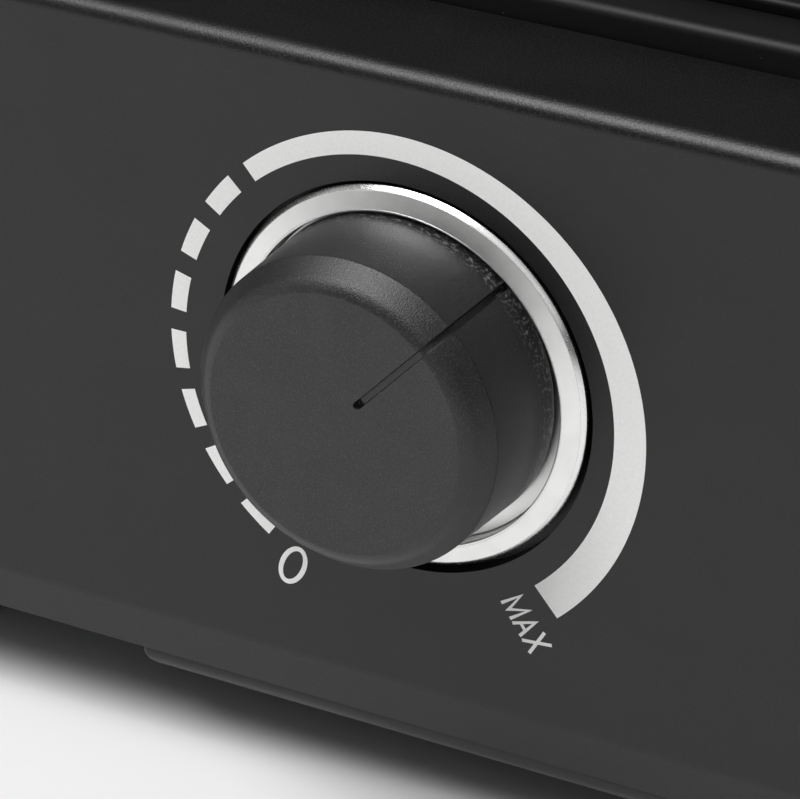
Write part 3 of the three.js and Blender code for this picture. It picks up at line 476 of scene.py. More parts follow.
def add(tree, kind, inputs=None, **fields):
    """Adds a shader node, sets its fields, and fills its inputs from values or outputs."""
    node = tree.nodes.new(kind)
    for field, value in fields.items():
        setattr(node, field, value)
    for socket, value in (inputs or {}).items():
        if isinstance(value, bpy.types.NodeSocket):
            tree.links.new(value, node.inputs[socket])
        else:
            node.inputs[socket].default_value = value
    return node


def number(tree, operation, first, second):
    return add(tree, "ShaderNodeMath", {0: first, 1: second}, operation=operation).outputs[0]


def axis_of(tree, axis):
    """One axis of the object coordinates."""
    where = add(tree, "ShaderNodeTexCoord").outputs["Object"]
    return add(tree, "ShaderNodeSeparateXYZ", {"Vector": where}).outputs[axis]


def place_of(tree, stretch=(1, 1, 1)):
    """Object coordinates, stretched where a pattern runs in one direction."""
    where = add(tree, "ShaderNodeTexCoord").outputs["Object"]
    return add(tree, "ShaderNodeMapping", {"Vector": where, "Scale": stretch}).outputs[0]


def noise(tree, size, detail=2.0, stretch=(1, 1, 1)):
    """Noise whose features are about as large as size."""
    inputs = {"Vector": place_of(tree, stretch), "Scale": 1 / size, "Detail": detail}
    return add(tree, "ShaderNodeTexNoise", inputs).outputs["Fac"]


def spread(tree, value, low, high, start=0.0, end=1.0):
    """Maps a value between start and end to one between low and high."""
    inputs = {"Value": value, "From Min": start, "From Max": end, "To Min": low, "To Max": high}
    return add(tree, "ShaderNodeMapRange", inputs).outputs["Result"]


def times(colour, factor):
    """A colour made lighter or darker."""
    return [min(1, channel * factor) for channel in colour]


def mixed(tree, factor, first, second):
    """Mixes two colours, each of them three numbers or an output."""
    node = add(tree, "ShaderNodeMix", data_type="RGBA")
    for index, value in ((0, factor), (6, first), (7, second)):
        if isinstance(value, bpy.types.NodeSocket):
            tree.links.new(value, node.inputs[index])
        else:
            node.inputs[index].default_value = (*value, 1)
    return node.outputs[2]


def patched(tree, pattern, start, end, base, patch, strength=1):
    """Lays a second colour over the first where a pattern rises from start to end."""
    return mixed(tree, spread(tree, pattern, 0, strength, start, end), base, patch)


def shades(tree, colour, amount, size):
    """A colour that drifts a little lighter and darker."""
    return patched(tree, noise(tree, size), 0.35, 0.65,
                   times(colour, 1 - amount), times(colour, 1 + amount))


def raised(tree, height, depth, under=None):
    """Bump of a real depth, laid over another bump where there is one."""
    inputs = {"Height": height, "Strength": 1.0, "Distance": depth}
    if under is not None:
        inputs["Normal"] = under
    return add(tree, "ShaderNodeBump", inputs).outputs["Normal"]


def specks(tree, size, radius, rarity):
    """Sparse round specks: one cell in many holds one."""
    cells = add(tree, "ShaderNodeTexVoronoi", {"Vector": place_of(tree), "Scale": 1 / size})
    near = spread(tree, cells.outputs["Distance"], 1, 0, 0, radius / size)
    chosen = add(tree, "ShaderNodeSeparateColor", {"Color": cells.outputs["Color"]}).outputs[0]
    return number(tree, "MULTIPLY", near, number(tree, "GREATER_THAN", chosen, 1 - rarity))


def shader(name, **constants):
    """A new material with its shader's constants set, and its node tree."""
    material = bpy.data.materials.new(name)
    material.use_nodes = True
    for socket, value in constants.items():
        material.node_tree.nodes[SHADER].inputs[socket.replace("_", " ")].default_value = value
    return material, material.node_tree


def surfaced(material, colour, roughness, normal):
    """Links a colour, a roughness and a bump to a material's shader, as far as they are given."""
    tree = material.node_tree
    for socket, value in (("Base Color", colour), ("Roughness", roughness), ("Normal", normal)):
        if value is not None:
            tree.links.new(value, tree.nodes[SHADER].inputs[socket])
    return material


def moulded_plastic(name, colour, roughness, grain, depth, dust):
    """Spark-eroded matt moulding with a fine grain and a little dust."""
    material, tree = shader(name)
    pits = noise(tree, grain, 3.0)
    base = shades(tree, colour, 0.10, 0.02)
    base = patched(tree, pits, 0.56, 0.74, base, times(colour, 5.0))
    base = mixed(tree, specks(tree, 0.009, 0.00009, dust), base, (0.22, 0.22, 0.22))
    worn = noise(tree, 0.012, 3.0)
    rough = number(tree, "ADD", spread(tree, pits, roughness - 0.05, roughness + 0.05, *MOST),
                   spread(tree, worn, -0.03, 0.03, *MOST))
    flow = raised(tree, noise(tree, 0.03, 1.0), 0.000036)
    return surfaced(material, base, rough, raised(tree, pits, depth, flow))


def knob_plastic(colour):
    """The knob's coarser grain, with dusty flecks where it meets the ring."""
    material, tree = shader("knob_moulding")
    grain = noise(tree, 0.0002, 4.0)
    base = shades(tree, colour, 0.12, 0.006)
    base = patched(tree, grain, 0.54, 0.68, base, times(colour, 2.8))
    edge = spread(tree, axis_of(tree, "Y"), 0, 1, PANEL_Y - 0.0032, PANEL_Y - 0.0010)
    flecks = spread(tree, noise(tree, 0.0005, 6.0), 0, 0.9, 0.52, 0.66)
    base = mixed(tree, number(tree, "MULTIPLY", edge, flecks), base, (0.22, 0.22, 0.22))
    rough = spread(tree, grain, 0.28, 0.42, *MOST)
    return surfaced(material, base, rough, raised(tree, grain, 0.00007))


def plated_metal(name, colour, grain, detail, drift, patch, rough, depth):
    """Plated metal: blasted to a fine sparkle, or polished nearly smooth."""
    material, tree = shader(name, Metallic=1.0)
    pattern = noise(tree, grain, detail)
    return surfaced(material, shades(tree, colour, drift, patch),
                    spread(tree, pattern, *rough, *MOST), raised(tree, pattern, depth))


def print_ink(colour):
    """Screen-printed ink, slightly mottled."""
    material, tree = shader("print_ink", Roughness=0.55)
    mottle = noise(tree, 0.0005, 4.0)
    base = patched(tree, mottle, 0.35, 0.75, colour, times(colour, 0.93))
    base = mixed(tree, specks(tree, 0.0012, 0.00007, 0.25), base, times(colour, 0.6))
    return surfaced(material, base, None, raised(tree, mottle, 0.000006))


def coated_metal(name, colour, roughness, gloss, peel, depth, fleck):
    """Non-stick coating: orange peel, fine flecks and slightly uneven gloss."""
    material, tree = shader(name, Specular_IOR_Level=gloss)
    base = shades(tree, colour, 0.12, 0.03)
    base = mixed(tree, specks(tree, 0.0016, 0.00011, fleck), base, (0.10, 0.10, 0.10))
    uneven = noise(tree, 0.018, 3.0)
    rough = spread(tree, uneven, roughness - 0.06, roughness + 0.06, *MOST)
    fine = raised(tree, noise(tree, peel / 5, 2.0), depth / 4)
    return surfaced(material, base, rough, raised(tree, noise(tree, peel, 2.0), depth, fine))


def sheet_steel(name, colour, stretch, roughness=0.32):
    """Rolled steel whose lines run along one axis."""
    material, tree = shader(name, Metallic=1.0)
    lines = noise(tree, 0.0006, 4.0, stretch)
    base = shades(tree, colour, 0.10, 0.02)
    base = patched(tree, lines, 0.4, 0.7, base, times(colour, 0.72), 0.5)
    rough = spread(tree, lines, roughness - 0.07, roughness + 0.1, *MOST)
    return surfaced(material, base, rough, raised(tree, lines, 0.000006))


def heater_sheath(colour):
    """Oxidised alloy tube with heat colours along its length."""
    material, tree = shader("oxidised_sheath", Metallic=0.85)
    warm = [colour[0] * 1.5, colour[1] * 1.25, colour[2]]
    cool = times(colour, 0.7)
    base = patched(tree, noise(tree, 0.045, 3.0), 0.35, 0.65, cool, warm)
    base = patched(tree, noise(tree, 0.0012, 5.0), 0.5, 0.8, base, cool, 0.6)
    scale = noise(tree, 0.0009, 4.0)
    rough = spread(tree, scale, 0.42, 0.66, *MOST)
    return surfaced(material, base, rough, raised(tree, scale, 0.000015))


def fired_ceramic(colour):
    """Steatite: matt, a little speckled."""
    material, tree = shader("fired_ceramic")
    base = shades(tree, colour, 0.06, 0.006)
    base = mixed(tree, specks(tree, 0.0014, 0.00012, 0.3), base, (0.35, 0.32, 0.27))
    pores = noise(tree, 0.0004, 4.0)
    rough = spread(tree, pores, 0.45, 0.7, *MOST)
    return surfaced(material, base, rough, raised(tree, pores, 0.00001))


def foot_rubber(colour):
    """Black rubber, dull, with pale scuffs near the floor."""
    material, tree = shader("black_rubber", Specular_IOR_Level=0.35)
    low = spread(tree, axis_of(tree, "Z"), 1, 0, 0, 0.0015)
    scuffs = spread(tree, noise(tree, 0.0011, 5.0), 0, 0.5, 0.5, 0.75)
    base = mixed(tree, number(tree, "MULTIPLY", low, scuffs),
                 shades(tree, colour, 0.2, 0.004), (0.14, 0.14, 0.14))
    pores = noise(tree, 0.0003, 3.0)
    rough = spread(tree, pores, 0.72, 0.88, *MOST)
    return surfaced(material, base, rough, raised(tree, pores, 0.00001))


def woven_sleeve(colour):
    """Braided glass sleeve over an inner lead."""
    material, tree = shader("braided_sleeve", Roughness=0.8)
    braid = add(tree, "ShaderNodeTexVoronoi", {"Vector": place_of(tree), "Scale": 1600.0})
    bump = raised(tree, braid.outputs["Distance"], 0.00012)
    return surfaced(material, shades(tree, colour, 0.12, 0.003), None, bump)


def finishes():
    """Every finish of the grill, made once and kept by name."""
    if "print_ink" in bpy.data.materials:
        return bpy.data.materials
    tints = settings("finish")
    moulded_plastic("charcoal_moulding", tints.housing, 0.38, 0.00028, 0.000035, dust=0.35)
    moulded_plastic("grip_moulding", tints.handle, 0.36, 0.0005, 0.000012, dust=0.2)
    knob_plastic(tints.knob)
    plated_metal("ring_plating", tints.ring, 0.00016, 1.0, 0.03, 0.004, (0.30, 0.42), 0.000010)
    plated_metal("ring_polish", tints.ring, 0.0003, 2.0, 0.02, 0.003, (0.20, 0.28), 0.000002)
    print_ink(tints.ink)
    coated_metal("cast_coating", tints.plate, 0.50, 0.3, 0.0011, 0.00003, 0.2)
    coated_metal("pan_coating", tints.pan, 0.36, 0.55, 0.0016, 0.000018, 0.4)
    sheet_steel("rolled_steel", tints.steel, (1, 0.04, 1))
    sheet_steel("bright_steel", times(tints.steel, 1.25), (0.06, 1, 1), 0.24)
    heater_sheath(tints.heater)
    fired_ceramic(tints.ceramic)
    foot_rubber(tints.rubber)
    woven_sleeve(tints.sleeve)
    return bpy.data.materials


# Geometry node trees


def node_tree(name, *numbers):
    """A new geometry tree with a points input, named number inputs and a material."""
    tree = bpy.data.node_groups.new(name, "GeometryNodeTree")
    tree.interface.new_socket("Geometry", in_out="INPUT", socket_type="NodeSocketGeometry")
    for title in numbers:
        tree.interface.new_socket(title, in_out="INPUT", socket_type="NodeSocketFloat")
    tree.interface.new_socket("Material", in_out="INPUT", socket_type="NodeSocketMaterial")
    tree.interface.new_socket("Geometry", in_out="OUTPUT", socket_type="NodeSocketGeometry")
    return tree, tree.nodes.new("NodeGroupInput").outputs


def place_copies(tree, given, points, shape):
    """Ends a tree: one copy of a shape on each point, made real, with its material."""
    copies = add(tree, "GeometryNodeInstanceOnPoints", {"Points": points, "Instance": shape})
    real = add(tree, "GeometryNodeRealizeInstances", {"Geometry": copies.outputs[0]})
    done = add(tree, "GeometryNodeSetMaterial",
               {"Geometry": real.outputs[0], "Material": given["Material"]})
    add(tree, "NodeGroupOutput", {"Geometry": done.outputs[0]})


def vector(tree, x=0.0, y=0.0, z=0.0):
    return add(tree, "ShaderNodeCombineXYZ", {"X": x, "Y": y, "Z": z}).outputs[0]


def rivet_tree():
    """Domed rivet heads on the given points."""
    tree, given = node_tree("Rivet heads", "Radius", "Height")
    dome = add(tree, "GeometryNodeMeshUVSphere", {"Segments": 32, "Rings": 16, "Radius": 1.0})
    size = vector(tree, given["Radius"], given["Radius"], given["Height"])
    shape = add(tree, "GeometryNodeTransform", {"Geometry": dome.outputs[0], "Scale": size})
    place_copies(tree, given, given["Geometry"], shape.outputs[0])
    return tree


def screw_tree():
    """Pan-head screws with a cross recess on the given points, heads down."""
    tree, given = node_tree("Screw heads", "Radius", "Height")
    dome = add(tree, "GeometryNodeMeshUVSphere", {"Segments": 40, "Rings": 20, "Radius": 1.0})
    size = vector(tree, given["Radius"], given["Radius"], given["Height"])
    head = add(tree, "GeometryNodeTransform", {"Geometry": dome.outputs[0], "Scale": size})
    long, short = (number(tree, "MULTIPLY", given["Radius"], share) for share in (1.1, 0.24))
    sunk = vector(tree, z=number(tree, "MULTIPLY", given["Height"], -0.95))
    bars = []
    for x, y in ((long, short), (short, long)):
        bar = add(tree, "GeometryNodeMeshCube", {"Size": vector(tree, x, y, given["Height"])})
        moved = add(tree, "GeometryNodeTransform",
                    {"Geometry": bar.outputs[0], "Translation": sunk})
        bars.append(moved.outputs[0])
    recess = add(tree, "GeometryNodeMeshBoolean", operation="DIFFERENCE")
    tree.links.new(head.outputs[0], recess.inputs["Mesh 1"])
    for bar in bars:
        tree.links.new(bar, recess.inputs["Mesh 2"])
    place_copies(tree, given, given["Geometry"], recess.outputs["Mesh"])
    return tree


def rib_tree():
    """Straight ribs with rounded tops, one for each given point, along X."""
    tree, given = node_tree(
        "Cooking ribs", "Length", "Foot Width", "Top Width", "Height", "Edge Radius")
    half = number(tree, "MULTIPLY", given["Length"], 0.5)
    line = add(tree, "GeometryNodeCurvePrimitiveLine", {
        "Start": vector(tree, number(tree, "MULTIPLY", half, -1.0)), "End": vector(tree, half)})
    section = add(tree, "GeometryNodeCurvePrimitiveQuadrilateral", {
        "Bottom Width": given["Foot Width"], "Top Width": given["Top Width"],
        "Height": given["Height"], "Offset": 0.0}, mode="TRAPEZOID")
    eased = add(tree, "GeometryNodeFilletCurve", {
        "Curve": section.outputs[0], "Radius": given["Edge Radius"], "Count": 5,
        "Limit Radius": True}, mode="POLY")
    bar = add(tree, "GeometryNodeCurveToMesh", {
        "Curve": line.outputs[0], "Profile Curve": eased.outputs[0], "Fill Caps": True})
    place_copies(tree, given, given["Geometry"], bar.outputs[0])
    return tree


def grown(name, tree, points, finish, **values):
    """Runs a tree on some points and returns the result as one plain mesh object."""
    values["Material"] = finishes()[finish]
    mesh = bpy.data.meshes.new(name)
    mesh.from_pydata([tuple(point) for point in points], [], [])
    piece = linked(name, mesh)
    modifier = piece.modifiers.new("copies", "NODES")
    modifier.node_group = tree
    for item in tree.interface.items_tree:
        if item.in_out == "INPUT" and item.name in values:
            modifier[item.identifier] = values[item.name]
    return settle(piece)


# Housing


def end_plan(inset, depth, height):
    """Outline of a housing end, from its front face back, with two round front corners."""
    radius = settings("housing").corner_radius - inset
    half = HALF_WIDTH - inset
    ring = [(half, depth, height), (-half, depth, height)]
    for side, quarter in ((-1, 2), (1, 3)):
        for step in range(CORNER_STEPS * 2 + 1):
            angle = (quarter + step / (CORNER_STEPS * 2)) * math.pi / 2
            x = side * (half - radius) + radius * math.cos(angle)
            ring.append((x, inset + radius + radius * math.sin(angle), height))
    return ring


def end_shell(name):
    """Moulded end with its skirt, round top edge, ledge and plate seat."""
    size = settings("housing")
    section = fillet([
        (size.skirt_inset, LIP_Z, 0), (0, LIP_Z + size.skirt_height, size.skirt_blend),
        (0, SHELL_TOP, size.top_radius), (size.corner_radius / 2, SHELL_TOP, 0)], 14)
    shell = skin(name, [end_plan(inset, END_DEPTH, height) for inset, height in section])
    seat = SHELL_TOP - size.seat_drop
    reach = HALF_WIDTH + SPARE
    behind = END_DEPTH + SPARE
    room = skin("room", [
        end_plan(size.wall, behind, LIP_Z - SPARE),
        end_plan(size.wall, behind, SHELL_TOP - size.wall)])
    under = block("under", (-reach, size.ledge_depth - size.wall, seat - size.wall),
                  (reach, behind + SPARE, SHELL_TOP + SPARE))
    cut(shell, cut(room, under))
    step_cut = block("seat", (-reach, size.ledge_depth, seat),
                     (reach, behind, SHELL_TOP + SPARE))
    return cut(shell, step_cut)


def bottom_cover(name):
    """Flat cover inside the lip, with the strip that shows below the lip."""
    size = settings("housing")
    inset = size.wall + CLEARANCE
    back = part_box("control_bottom_cover")[1].y - PANEL_Y
    cover = skin(name, [end_plan(inset, back, LIP_Z + rise) for rise in (0, size.cover_sheet)])
    front, depth = size.strip_set_back, size.strip_depth
    corner = size.strip_corner
    middle = front + depth / 2
    low, high = LIP_Z - size.strip_drop, LIP_Z + CLEARANCE
    rings = []
    for step in range(FILLET_STEPS + 1):
        rise = step / FILLET_STEPS * (high - low)
        end = size.strip_end - math.sqrt(size.strip_end ** 2 - (size.strip_end - rise) ** 2)
        rings.append(rounded_rectangle(
            size.strip_half_width - end, depth / 2 - end, corner, low + rise))
    strip = skin("strip", rings)
    strip.data.transform(Matrix.Translation((0, middle, 0)))
    join(cover, strip)
    reach = size.strip_half_width - corner
    join(cover, block("neck", (-reach, inset + CLEARANCE, low + size.strip_drop / 2),
                      (reach, front + depth - corner, LIP_Z + size.cover_sheet / 2)))
    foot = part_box("foot_front_right")
    for side in (-1, 1):
        x = side * (foot[0].x + foot[1].x) / 2
        cut(cover, rod("hole", size.foot_hole, (x, size.foot_inset, 0),
                       (x, size.foot_inset, LIP_Z + SPARE)))
    return cover


def make_end(name, place, nodes):
    """A finished housing end, with its cover, moved to its place."""
    size = settings("housing")
    shell = end_shell(name + "_end_moulding")
    if place is CONTROL_END:
        x, z = RING_CENTRE.x + size.pocket_shift, RING_CENTRE.z - size.pocket_shift
        back = size.pocket_depth + size.pocket_floor
        join(shell, rod("boss", size.pocket_radius + size.pocket_rim,
                        (x, size.wall / 2, z), (x, back, z)))
        cut(shell, rod("pocket", size.pocket_radius, (x, -SPARE, z),
                       (x, size.pocket_depth, z), ROUND_SEGMENTS))
        cut(shell, rod("hole", size.shaft_hole, (0, 0, KNOB_AXIS.z),
                       (0, back + SPARE, KNOB_AXIS.z)))
        low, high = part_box("cord_gland")
        y, z = (low.y + high.y) / 2 - PANEL_Y, (low.z + high.z) / 2
        cut(shell, rod("outlet", size.outlet_radius, (-HALF_WIDTH - SPARE, y, z),
                       (-HALF_WIDTH + SPARE, y, z)))
    smooth(shell, size.broken_edge, crease=40.0)
    cover = smooth(bottom_cover(name + "_cover_moulding"), size.broken_edge, crease=40.0)
    for piece, node in ((shell, nodes[0]), (cover, nodes[1])):
        piece.data.transform(place)
        handed_over(piece, "charcoal_moulding", "housing", "housing_plastic", node)


def screw_points():
    """Places of the screws under both ends."""
    size = settings("housing")
    points = []
    for place in (CONTROL_END, FAR_END):
        for side in (-1, 1):
            for x, y in SCREW_PLACES:
                points.append(place @ Vector((side * x, y, LIP_Z - size.screw_radius * 0.05)))
    return points


class RACLETTE_OT_housing(bpy.types.Operator):
    """Makes both moulded ends with their bottom covers"""
    bl_idname = "raclette.housing"
    bl_label = "Housing ends"

    def execute(self, context):
        make_end("control", CONTROL_END, ("control_end_shell", "control_bottom_cover"))
        make_end("far", FAR_END, ("far_end_shell", "far_bottom_cover"))
        return {"FINISHED"}


class RACLETTE_OT_feet(bpy.types.Operator):
    """Makes the four rubber feet and the screws of the bottom covers"""
    bl_idname = "raclette.feet"
    bl_label = "Feet and screws"

    def execute(self, context):
        size = settings("housing")
        for name in ("foot_front_left", "foot_front_right", "foot_back_left", "foot_back_right"):
            low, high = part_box(name)
            middle = (low + high) / 2
            radius = (high.x - low.x) / 2
            top = LIP_Z - CLEARANCE
            hollow, stem, barb = size.foot_hollow, size.stem_radius, size.barb_height
            section = fillet([
                (0, hollow, 0), (radius * 0.55, hollow, 0.0004), (radius * 0.62, 0, 0.0004),
                (radius, 0, size.foot_edge), (radius * 0.93, top, 0.0006), (stem, top, 0),
                (stem, high.z - barb, 0), (size.barb_radius, high.z - barb * 0.75, 0.0003),
                (size.barb_tip, high.z, 0.0003), (0, high.z, 0)])
            foot = lathe(name + "_rubber", section, SMALL_SEGMENTS)
            foot.data.transform(Matrix.Translation((middle.x, middle.y, 0)))
            smooth(foot)
            handed_over(foot, "black_rubber", "housing", "foot_rubber", name)
        screws = grown("cover_screws", screw_tree(), screw_points(), "bright_steel",
                       Radius=size.screw_radius, Height=size.screw_radius * 0.45)
        smooth(screws, crease=40.0)
        handed_over(screws, "bright_steel", "housing", "bare_steel")
        return {"FINISHED"}


# Knob, ring and printed scale


def knob_rows():
    """Points of the knob's section from the middle of its face to its base, closely spaced."""
    size = settings("dial")
    foot = size.reach - size.bevel_depth
    inner = size.base_radius - size.knob_wall
    roof = size.reach - size.knob_wall
    start, half = size.slot_start, size.slot_width / 2
    # Rings of the face: wide apart, and close together round the slot's end
    flat = [0.0, 0.0006, 0.0012, 0.0018, 0.0024, 0.0029]
    flat += [start - half * 1.6 + half * 0.16 * step for step in range(16)]
    flat += [start + half + 0.0005 * step for step in range(1, 26)]
    face_end = size.face_radius - 2 * size.face_edge
    rows = [(radius, size.reach) for radius in flat if radius < face_end]
    # The bevel leaves the face at a slight crease and then bends to its straight outer half
    leave, slope = math.tan(size.bevel_start), math.tan(size.bevel_slope)
    across = size.rim_radius - size.face_radius
    bend = (slope * across - size.bevel_depth) / (slope - leave)
    corner = fillet([
        (face_end, size.reach, 0), (size.face_radius, size.reach, size.face_edge),
        (size.face_radius + bend, size.reach - leave * bend, size.bevel_bend),
        (size.rim_radius, foot, size.rim_edge),
        (size.rim_radius + 0.0001, foot - 0.003, 0)], 8)
    rows += corner
    low, edge = -size.base_sink, size.base_edge
    top, base = Vector(corner[-1]), Vector((size.base_radius, low + edge))
    rows += [tuple(top.lerp(base, step / SIDE_STEPS)) for step in range(1, SIDE_STEPS + 1)]
    boss, bore = size.boss_radius, size.bore_radius
    rows += [(size.base_radius - edge, low), (inner + edge, low), (inner, low + edge),
             (inner, roof), (boss, roof), (boss, 0.0), (bore, 0.0), (bore, size.bore_depth),
             (0.0, size.bore_depth)]
    return rows


def slot_depth_at(along, across, reach):
    """Depth of the pointer slot at a place along and across its line."""
    size = settings("dial")
    half, flank = size.slot_width / 2, size.slot_width * 0.16
    beyond = max(0.0, size.slot_start - along)
    distance = math.hypot(across, beyond)
    share = min(1.0, max(0.0, (half - distance) / flank))
    flat = share * share * (3 - 2 * share)
    down = min(1.0, max(0.0, (size.reach - reach) / size.bevel_depth))
    depth = size.face_slot_depth + (size.side_slot_depth - size.face_slot_depth) * down
    hole = math.exp(-((along - size.slot_start) / (half * 0.9)) ** 2) * size.slot_width * 0.7
    return flat * (depth + hole)


def make_knob():
    """The knob, with its pointer slot pressed into the surface."""
    size = settings("dial")
    rows = knob_rows()
    half = size.slot_width / 2
    # Lines beside the slot's middle, as shares of its half width
    shares = [0, 0.3, 0.55, 0.66, 0.72, 0.78, 0.84, 0.9, 0.95, 1.0, 1.06, 1.2, 1.5, 2.0, 2.8]
    offsets = [-half * share for share in reversed(shares[1:])] + [half * share for share in shares]
    edge = offsets[-1]
    outer_rows = next(index for index, row in enumerate(rows) if row[1] <= -size.base_sink)
    rings = []
    for index, (radius, reach) in enumerate(rows):
        width = max(radius, size.slot_start - half * 2)
        angles = [math.asin(offset / width) for offset in offsets]
        rest = 2 * math.pi - 2 * math.asin(edge / width)
        angles += [angles[-1] + rest * step / AROUND_KNOB for step in range(1, AROUND_KNOB)]
        before = Vector(rows[max(index - 1, 0)])
        after = Vector(rows[min(index + 1, len(rows) - 1)])
        run = (after - before).normalized()
        outward = Vector((-run.y, run.x))
        ring = []
        for angle in angles:
            depth = 0.0
            if index <= outer_rows:
                along, across = radius * math.cos(angle), radius * math.sin(angle)
                depth = slot_depth_at(along, across, reach) if along > 0 else 0.0
            r, h = radius - outward.x * depth, reach - outward.y * depth
            turned = angle + size.rest_angle
            ring.append((r * math.cos(turned), r * math.sin(turned), h))
        rings.append(ring)
    knob = skin("knob_moulding", rings, capped=False)
    knob.data.transform(KNOB)
    return smooth(knob, crease=50.0)


class RACLETTE_OT_knob(bpy.types.Operator):
    """Makes the thermostat knob with its bevel and pointer slot"""
    bl_idname = "raclette.knob"
    bl_label = "Knob"

    def execute(self, context):
        handed_over(make_knob(), "knob_moulding", "knob", "knob_plastic", "control_knob")
        return {"FINISHED"}


class RACLETTE_OT_ring(bpy.types.Operator):
    """Makes the satin ring round the knob"""
    bl_idname = "raclette.ring"
    bl_label = "Metal ring"

    def execute(self, context):
        size = settings("dial")
        outer, inner, top = size.ring_outer, size.ring_inner, size.ring_rise
        foot = RING_HIGH.y - PANEL_Y
        edge = top - size.ring_dish
        shoulder = outer - size.ring_bevel
        under = edge - size.ring_fall - size.ring_flank
        sleeve = inner + size.ring_sleeve
        lip, fine = inner + size.ring_lip, 0.00004
        seat, seat_z = inner - size.ring_seat, -size.ring_seat_depth
        section = fillet([
            (inner, 0, 0), (inner, top, 0.00014), (lip - fine, top, fine / 2),
            (lip, top - fine, fine / 2), (lip + fine, top, fine / 2),
            (shoulder - fine, edge, fine / 2), (shoulder, edge - fine, fine / 2),
            (shoulder + fine, edge, fine / 2), (outer, edge - size.ring_fall, 0.0001),
            (outer, under, 0.0001), (sleeve, under, 0), (sleeve, -foot, 0),
            (seat, -foot, 0), (seat, seat_z, 0), (inner, seat_z, 0.0002), (inner, 0, 0)], 4)
        ring = lathe("knob_ring_plated", section, ROUND_SEGMENTS * 2)
        smooth(ring, crease=24.0)
        polished = [math.hypot(*face.center[:2]) > shoulder for face in ring.data.polygons]
        ring.data.transform(DIAL)
        handed_over(ring, "ring_plating", "housing", "satin_ring", "knob_ring")
        ring.data.materials.append(finishes()["ring_polish"])
        for face, shiny in zip(ring.data.polygons, polished):
            face.material_index = int(shiny)
        return {"FINISHED"}


def ink_body(name, rings, capped=True):
    """Thin body of ink from rings of (x, y) pairs, each ring one cross-section."""
    ink = settings("dial").ink
    return skin(name, [[(*inner, -ink), (*outer, -ink), (*outer, ink), (*inner, ink)]
                       for inner, outer in rings], capped)


def scale_arc(name, start, end):
    """One dash or band of the printed scale between two directions."""
    size = settings("dial")
    whole = size.scale_start - size.scale_end
    count = max(4, round(abs(start - end) / math.radians(1.2)))
    rings = []
    for step in range(count + 1):
        angle = start + (end - start) * step / count
        share = (size.scale_start - angle) / whole
        width = size.scale_thin + (size.scale_thick - size.scale_thin) * max(0, share) ** 1.15
        ray = Vector((math.cos(angle), math.sin(angle)))
        middle = Vector((-size.scale_shift_x, -size.scale_shift_y))
        rings.append((tuple(middle + ray * size.scale_inner),
                      tuple(middle + ray * (size.scale_inner + width))))
    return ink_body(name, rings)


def stroke(name, points, width):
    """A line of ink through points, mitred at its corners and cut square at its ends."""
    points = [Vector(point) for point in points]
    rings = []
    for index, point in enumerate(points):
        before = (point - points[index - 1]).normalized() if index else None
        after = (points[index + 1] - point).normalized() if index < len(points) - 1 else None
        run = ((before or after) + (after or before)).normalized()
        side = Vector((-run.y, run.x))
        wide = width / 2 / max(0.42, side.dot(Vector((-(after or before).y, (after or before).x))))
        rings.append((tuple(point - side * wide), tuple(point + side * wide)))
    return ink_body(name, rings)


def zero_mark():
    """A plain zero at the cold end, its top towards the knob."""
    size = settings("dial")
    half_x, half_y, line = size.zero_width / 2, size.zero_height / 2, size.zero_stroke
    rings = []
    for step in range(ZERO_STEPS + 1):
        angle = -2 * math.pi * step / ZERO_STEPS
        x, y = math.cos(angle), math.sin(angle)
        rings.append(((x * (half_x - line), y * (half_y - line)), (x * half_x, y * half_y)))
    zero = ink_body("zero", rings, capped=False)
    place = Matrix.Translation((-size.zero_left, -size.zero_below, 0))
    zero.data.transform(place @ Matrix.Rotation(size.zero_turn, 4, "Z"))
    return zero


def hot_word():
    """The three plain letters at the hot end, drawn as strokes of one width."""
    size = settings("dial")
    # Lines of each letter: along the word in its lengths, and across in its heights
    letters = [
        [[(0, 0), (0.01, 0.88), (0.152, 0.13), (0.298, 0.88), (0.308, 0)]],
        [[(0.396, 0), (0.530, 0.88), (0.648, 0)], [(0.445, 0.31), (0.600, 0.31)]],
        [[(0.730, 0), (1.0, 1)], [(0.748, 1), (0.985, 0)]],
    ]
    start = Matrix.Translation((size.word_right, -size.word_below, 0))
    word = []
    for letter in letters:
        parts = []
        for line in letter:
            points = [(x * size.word_length, y * size.word_height) for x, y in line]
            parts.append(stroke("letter", points, size.word_stroke))
        for extra in parts[1:]:
            join(parts[0], extra)
        parts[0].data.transform(start @ Matrix.Rotation(size.word_turn, 4, "Z"))
        word.append(parts[0])
    return word


class RACLETTE_OT_scale(bpy.types.Operator):
    """Makes the printed scale: seven dashes, a growing band, a zero and a plain word"""
    bl_idname = "raclette.scale"
    bl_label = "Printed scale"

    def execute(self, context):
        size = settings("dial")
        pitch = size.dash_pitch
        inks = [scale_arc("band", size.scale_join, size.scale_end)]
        for index in range(size.dash_count):
            end = size.scale_join + pitch * index + (1 - size.dash_share) * pitch
            inks.append(scale_arc("dash", end + size.dash_share * pitch, end))
        inks += [zero_mark(), *hot_word()]
        work = bmesh.new()
        for ink in inks:
            work.from_mesh(ink.data)
            bpy.data.objects.remove(ink)
        mesh = bpy.data.meshes.new("printed_scale")
        bmesh.ops.recalc_face_normals(work, faces=work.faces)
        work.to_mesh(mesh)
        work.free()
        mesh.transform(DIAL)
        handed_over(linked("printed_scale", mesh), "print_ink", "housing", "housing_plastic")
        return {"FINISHED"}


# Grill plate


